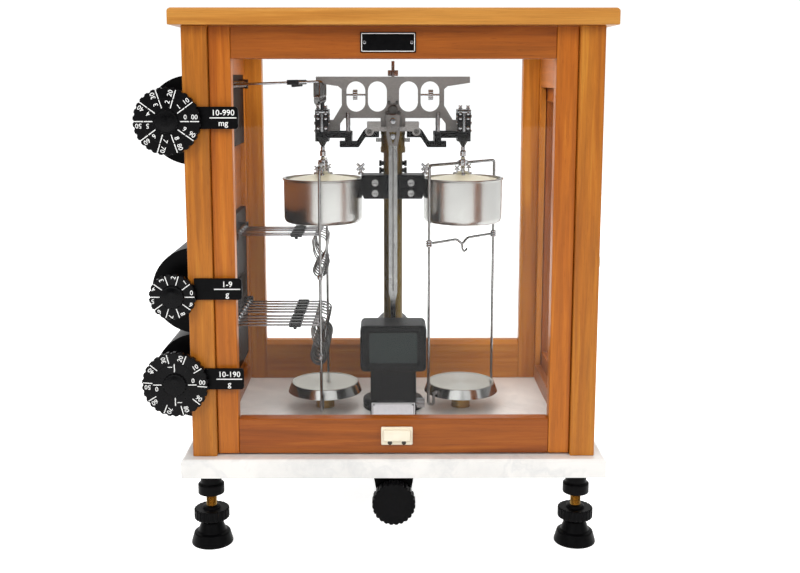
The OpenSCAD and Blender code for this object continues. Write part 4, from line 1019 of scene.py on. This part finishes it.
def dial_marks(names, z, middle_r, low_r, high_r, proud=0.02, phase=0.0):
    """Numbers on the counter-clockwise side of their lines, round a dial."""
    shape = Shape()
    for k, name in enumerate(names):
        turn = 2 * pi * k / len(names) + radians(phase)
        spin = moved(DIAL_X, FACE_Y - proud, z) @ Matrix.Rotation(-turn, 4, "Y")
        shape.add(letters(name, 6.0), at=spin @ moved(middle_r, 0, 3.8))
        shape.add(box(low_r, high_r, -0.06, 0.04, -0.42, 0.42, 0), at=spin)
    return shape


def dial_knob(shape, at):
    """The fluted knob in the middle of a dial, with a domed top."""
    shape.add(scalloped(KNOB_R, 0.6, 20, KNOB_H, 1.0), at=at)
    shape.add(turned([(0, KNOB_H - 0.4), (KNOB_R - 1.4, KNOB_H - 0.4), (KNOB_R - 1.8, KNOB_H + 0.1),
                      (5, KNOB_H + 0.7), (0, KNOB_H + 0.8)], 1.0, 64), at=at)


def dial(z, r, flutes, body, node, names, numbers_r, low_r, phase=0.0, centre=None):
    """An outer dial, and its centre dial where it has one: (body, node, names)."""
    shape = Shape()
    shape.add(scalloped(r, 1.1, flutes, BACK_Y - FACE_Y, 1.9), at=toward((DIAL_X, BACK_Y, z), -Y))
    shape.add(turned([(0, 0), (11.5, 0), (11.5, 24.8), (5, 24.9), (5, 60), (0, 60)], 0.5, 48),
              at=toward((DIAL_X, BACK_Y, z), Y))
    knob_at = toward((DIAL_X, FACE_Y, z), -Y)
    if centre:
        core = Shape()
        disc = [(0, -2.6), (CENTRE_R, -2.6), (CENTRE_R, 0.08), (CENTRE_R - 0.6, 0.22), (0, 0.22)]
        core.add(turned(disc, 0.2, 96), at=knob_at)
        dial_knob(core, knob_at)
        core.make(centre[1] + "_turned", [DIAL], centre[0], "black_plastic", centre[1])
        inner_marks = dial_marks(centre[2], z, 16.9, KNOB_R + 1.3, CENTRE_R - 0.4, proud=0.24)
        inner_marks.make(centre[1] + "_marks", [WHITE], centre[0], "black_plastic")
    else:
        dial_knob(shape, knob_at)
    shape.make(node + "_scalloped", [DIAL], body, "black_plastic", node)
    outer_marks = dial_marks(names, z, numbers_r, low_r, r - 1.3, phase=phase)
    outer_marks.make(node + "_marks", [WHITE], body, "black_plastic")


tens = ["00"] + [str(10 * k) for k in range(1, 10)]
ones = [str(k) for k in range(10)]
dial(407, 30.5, 30, "mg_dial", "mg_dial", tens, 25.1, CENTRE_R + 0.4,
     centre=("mg_centre", "mg_centre_dial", ones))
dial(247, 21.6, 20, "gram_dial", "gram_dial", ones, 17.8, KNOB_R + 0.4)
dial(164, 30.8, 30, "ten_dial", "ten_gram_dial", tens, 25.1, CENTRE_R + 0.4, phase=-4.0,
     centre=("ten_centre", "ten_gram_centre_dial", ["0", "1", "0", "1"]))

# Levers and ring weights

LEVER_STEP, SPARE = 13.5, 0.15


def end_loop(x, y, k, top, pivot_z, peg_z, rod, upright):
    """One side of the loop at a lever's end, which comes down to its peg."""
    drop = pivot_z - peg_z
    wide = min(7.5, 0.3 * drop + 1.5)
    if upright:
        path = [(x, y, top), (x + k * 2.7, y, top - 0.6), (x + k * 2.7, y, peg_z - 1.0), (x, y, peg_z)]
        bend = 1.2
    else:
        path = [(x - 1.5 * rod, y, top), (x + k * wide, y, pivot_z - 0.12 * drop),
                (x + k * wide * 0.8, y, pivot_z - 0.62 * drop), (x, y, peg_z + 0.08 * drop), (x, y, peg_z)]
        bend = 0.4 * drop
    return tube(bent(path, bend, 8), 0.75 * rod, 8)


def lever_row(name, body, count, pivot_z, rack_z, rack_r, side, peg_r, ring_in, ring_wire, rod, squeeze,
              rise=0.0):
    """Levers from their pivot shaft to the pegs that carry the ring weights, which rise by a little."""
    shape = Shape()
    x = -ARM - side
    peg_z = rack_z + rack_r + 5.5 - peg_r - SPARE
    top = pivot_z + rise
    for i in range(count):
        y = BEAM_Y + (i - (count - 1) / 2) * LEVER_STEP
        out = -1 if y < BEAM_Y else 1
        rod_y = y + out * (ring_wire + peg_r + 0.4)
        shape.add(turned([(1.6, -2), (3.6, -2), (3.6, 2), (1.6, 2)], 0.3, 24), 1,
                  at=toward((LEVER_X, rod_y, pivot_z), Y))
        shape.add(tube([(LEVER_X + 3, rod_y, pivot_z), (x + 0.8 * rod, rod_y, top)], rod, 12), 1)
        for k in (-1, 1):
            shape.add(end_loop(x, rod_y, k, top, pivot_z, peg_z, rod, rise > 0))
        peg = [(x, rod_y - out * 0.5 * rod, peg_z), (x, y - out * (ring_wire + 0.8), peg_z)]
        shape.add(tube(peg, peg_r, 10))
        clamp_z = pivot_z + 0.72 * rise
        shape.add(box(x - 30, x - 18, rod_y - rod - 0.9, rod_y + rod + 0.9,
                      clamp_z - rod - 1.2, clamp_z + rod + 1.2, 0.4), 2)
        screw(shape, (x - 24, rod_y, clamp_z - rod - 1.0), -Z, 1.7, 2.4, 2)
        ring = [Vector((x + squeeze * p.x, y, p.z)) for p in
                circle(ring_in + ring_wire, 36, (0, 0, peg_z + peg_r + SPARE - ring_in))]
        shape.add(tube(ring, 0.8 * ring_wire, 10, True), 3)
    shape.make(name + "_rods", [STEEL, CHROME, DARK, DARK_STEEL], body, "steel_wire", name + "s")


lever_row("mg_lever", "mg_lever_row", 8, MG_LEVER_Z, MG_RACK_Z, 1, 2.1, 0.6, 4.5, 0.5, 1.3, 0.62, rise=3.0)
lever_row("gram_lever", "gram_lever_row", 5, GRAM_LEVER_Z, GRAM_RACK_Z, 1.5, 2.6, 0.8, 6.2, 1.1, 0.95, 0.92)
lever_row("ten_gram_lever", "ten_lever_row", 9, TEN_LEVER_Z, TEN_RACK_Z, 1.5, 2.8, 1.0, 7.5, 2.0, 1.15, 0.8)

# Stage and light

FLOOR_HALF, FLOOR_GLOW = 9.0, 0.7
floor_mesh = bpy.data.meshes.new("floor")
corners = ((-1, -1), (1, -1), (1, 1), (-1, 1))
floor_mesh.from_pydata([(x * FLOOR_HALF, y * FLOOR_HALF, 0) for x, y in corners], [], [(0, 1, 2, 3)])
placed("floor", floor_mesh)
ground = Paint("ground", Roughness=0.9)
dust = ground.noise(ground.place, 3, 3, 0.5)
ground.color(ground.ramp(dust, [(0.3, 0.80), (0.7, 0.82)]))
# White is added for the rays that look at the floor or see it mirrored
path = ground.new("ShaderNodeLightPath").outputs
seen = calc(ground.tree, "MAXIMUM", path["Is Camera Ray"], path["Is Glossy Ray"])
seen = calc(ground.tree, "MAXIMUM", seen, path["Is Transmission Ray"])
glow = ground.new("ShaderNodeEmission")
ground.link(calc(ground.tree, "MULTIPLY", seen, FLOOR_GLOW), glow.inputs["Strength"])
both = ground.new("ShaderNodeAddShader")
ground.link(ground.shader.outputs[0], both.inputs[0])
ground.link(glow.outputs[0], both.inputs[1])
ground.link(both.outputs[0], ground.out.inputs[0])
floor_mesh.materials.append(ground.mat)

KEY_AT, FILL_AT = (-1.4, -2.1, 2.0), (1.5, -2.1, 1.7)
# The backdrop is white all round for the camera. Mirrored rays see it behind the object, and a dimmer
# room in front of it and to its sides. All other rays find less light in front than behind.
SKY_BEHIND, SKY_BEFORE, BACKDROP, ROOM, SEEN_WHITE, SIDE_DIM = 0.78, 0.34, 1.0, 0.11, 1.1, 0.3
world = bpy.data.worlds.new("studio")
bpy.context.scene.world = world
world.use_nodes = True
tree = world.node_tree
tree.nodes.clear()
path = tree.nodes.new("ShaderNodeLightPath").outputs
direction = tree.nodes.new("ShaderNodeTexCoord").outputs["Generated"]
way = tree.nodes.new("ShaderNodeSeparateXYZ")
tree.links.new(direction, way.inputs[0])


def by_direction(low, high):
    """A strength that goes from low in front of the object to high behind it."""
    return ranged(tree, way.outputs["Y"], (-0.45, 0.1), (low, high))


def soft_box(place, strength):
    """A soft bright patch in the direction of a place, for mirrored rays."""
    dot = tree.nodes.new("ShaderNodeVectorMath")
    dot.operation = "DOT_PRODUCT"
    tree.links.new(direction, dot.inputs[0])
    dot.inputs[1].default_value = Vector(place).normalized()
    return ranged(tree, dot.outputs["Value"], (0.82, 0.93), (0.0, strength), "SMOOTHSTEP")


soft = by_direction(SKY_BEFORE, SKY_BEHIND)
boxes = calc(tree, "ADD", soft_box(KEY_AT, 1.3), soft_box(FILL_AT, 0.9))
# The room falls off to both sides, so that turned metal keeps dark edges
sides = ranged(tree, calc(tree, "ABSOLUTE", way.outputs["X"]), (0.3, 0.62), (1.0, SIDE_DIM))
room = calc(tree, "MULTIPLY", by_direction(ROOM, BACKDROP), sides)
change = calc(tree, "SUBTRACT", calc(tree, "ADD", room, boxes), soft)
mirrored = calc(tree, "MULTIPLY_ADD", path["Is Glossy Ray"], change, soft)
seen = calc(tree, "MAXIMUM", path["Is Camera Ray"], path["Is Transmission Ray"])
strength = calc(tree, "MULTIPLY_ADD", seen, calc(tree, "SUBTRACT", SEEN_WHITE, mirrored), mirrored)
sky = tree.nodes.new("ShaderNodeBackground")
sky.inputs["Color"].default_value = (1, 1, 1, 1)
tree.links.new(strength, sky.inputs["Strength"])
sky_out = tree.nodes.new("ShaderNodeOutputWorld")
tree.links.new(sky.outputs[0], sky_out.inputs[0])


def lamp(name, place, target, width, height, power):
    """A lamp that mirrored rays don't see: the world's soft patches stand for it, free of specks."""
    data = bpy.data.lights.new(name, "AREA")
    data.shape = "RECTANGLE"
    data.size, data.size_y = width, height
    data.energy = power
    ob = placed(name, data)
    ob.visible_glossy = False
    ob.visible_camera = False
    ob.location = place
    ob.rotation_mode = "QUATERNION"
    ob.rotation_quaternion = (Vector(target) - Vector(place)).to_track_quat("-Z", "Y")


TARGET = (0, 0, 0.2)
lamp("key", KEY_AT, TARGET, 1.6, 1.6, 42)
lamp("fill", FILL_AT, TARGET, 1.6, 1.6, 32)
lamp("top", (0, 0.3, 2.4), TARGET, 1.6, 1.6, 6)
lamp("back", (0, 2.1, 1.5), (0, 0, 0.1), 1.6, 1.2, 27)
lamp("inside", (0.017, 0.01, 0.485), (0.017, 0.01, 0.1), 0.27, 0.2, 1.0)

# Camera

CAMERA_AT, CAMERA_TILT, CAMERA_TURN = (-4.9, -1095.4, 445.1), 8.67, -0.31
camera_data = bpy.data.cameras.new("camera")
camera = placed("camera", camera_data)
bpy.context.scene.camera = camera
camera_data.lens = 47.25
camera_data.shift_x = 0.0075
camera_data.shift_y = -0.06
camera.location = row(CAMERA_AT)
camera.rotation_euler = (radians(90 - CAMERA_TILT), 0, radians(CAMERA_TURN))

bpy.context.scene.view_settings.view_transform = "Standard"
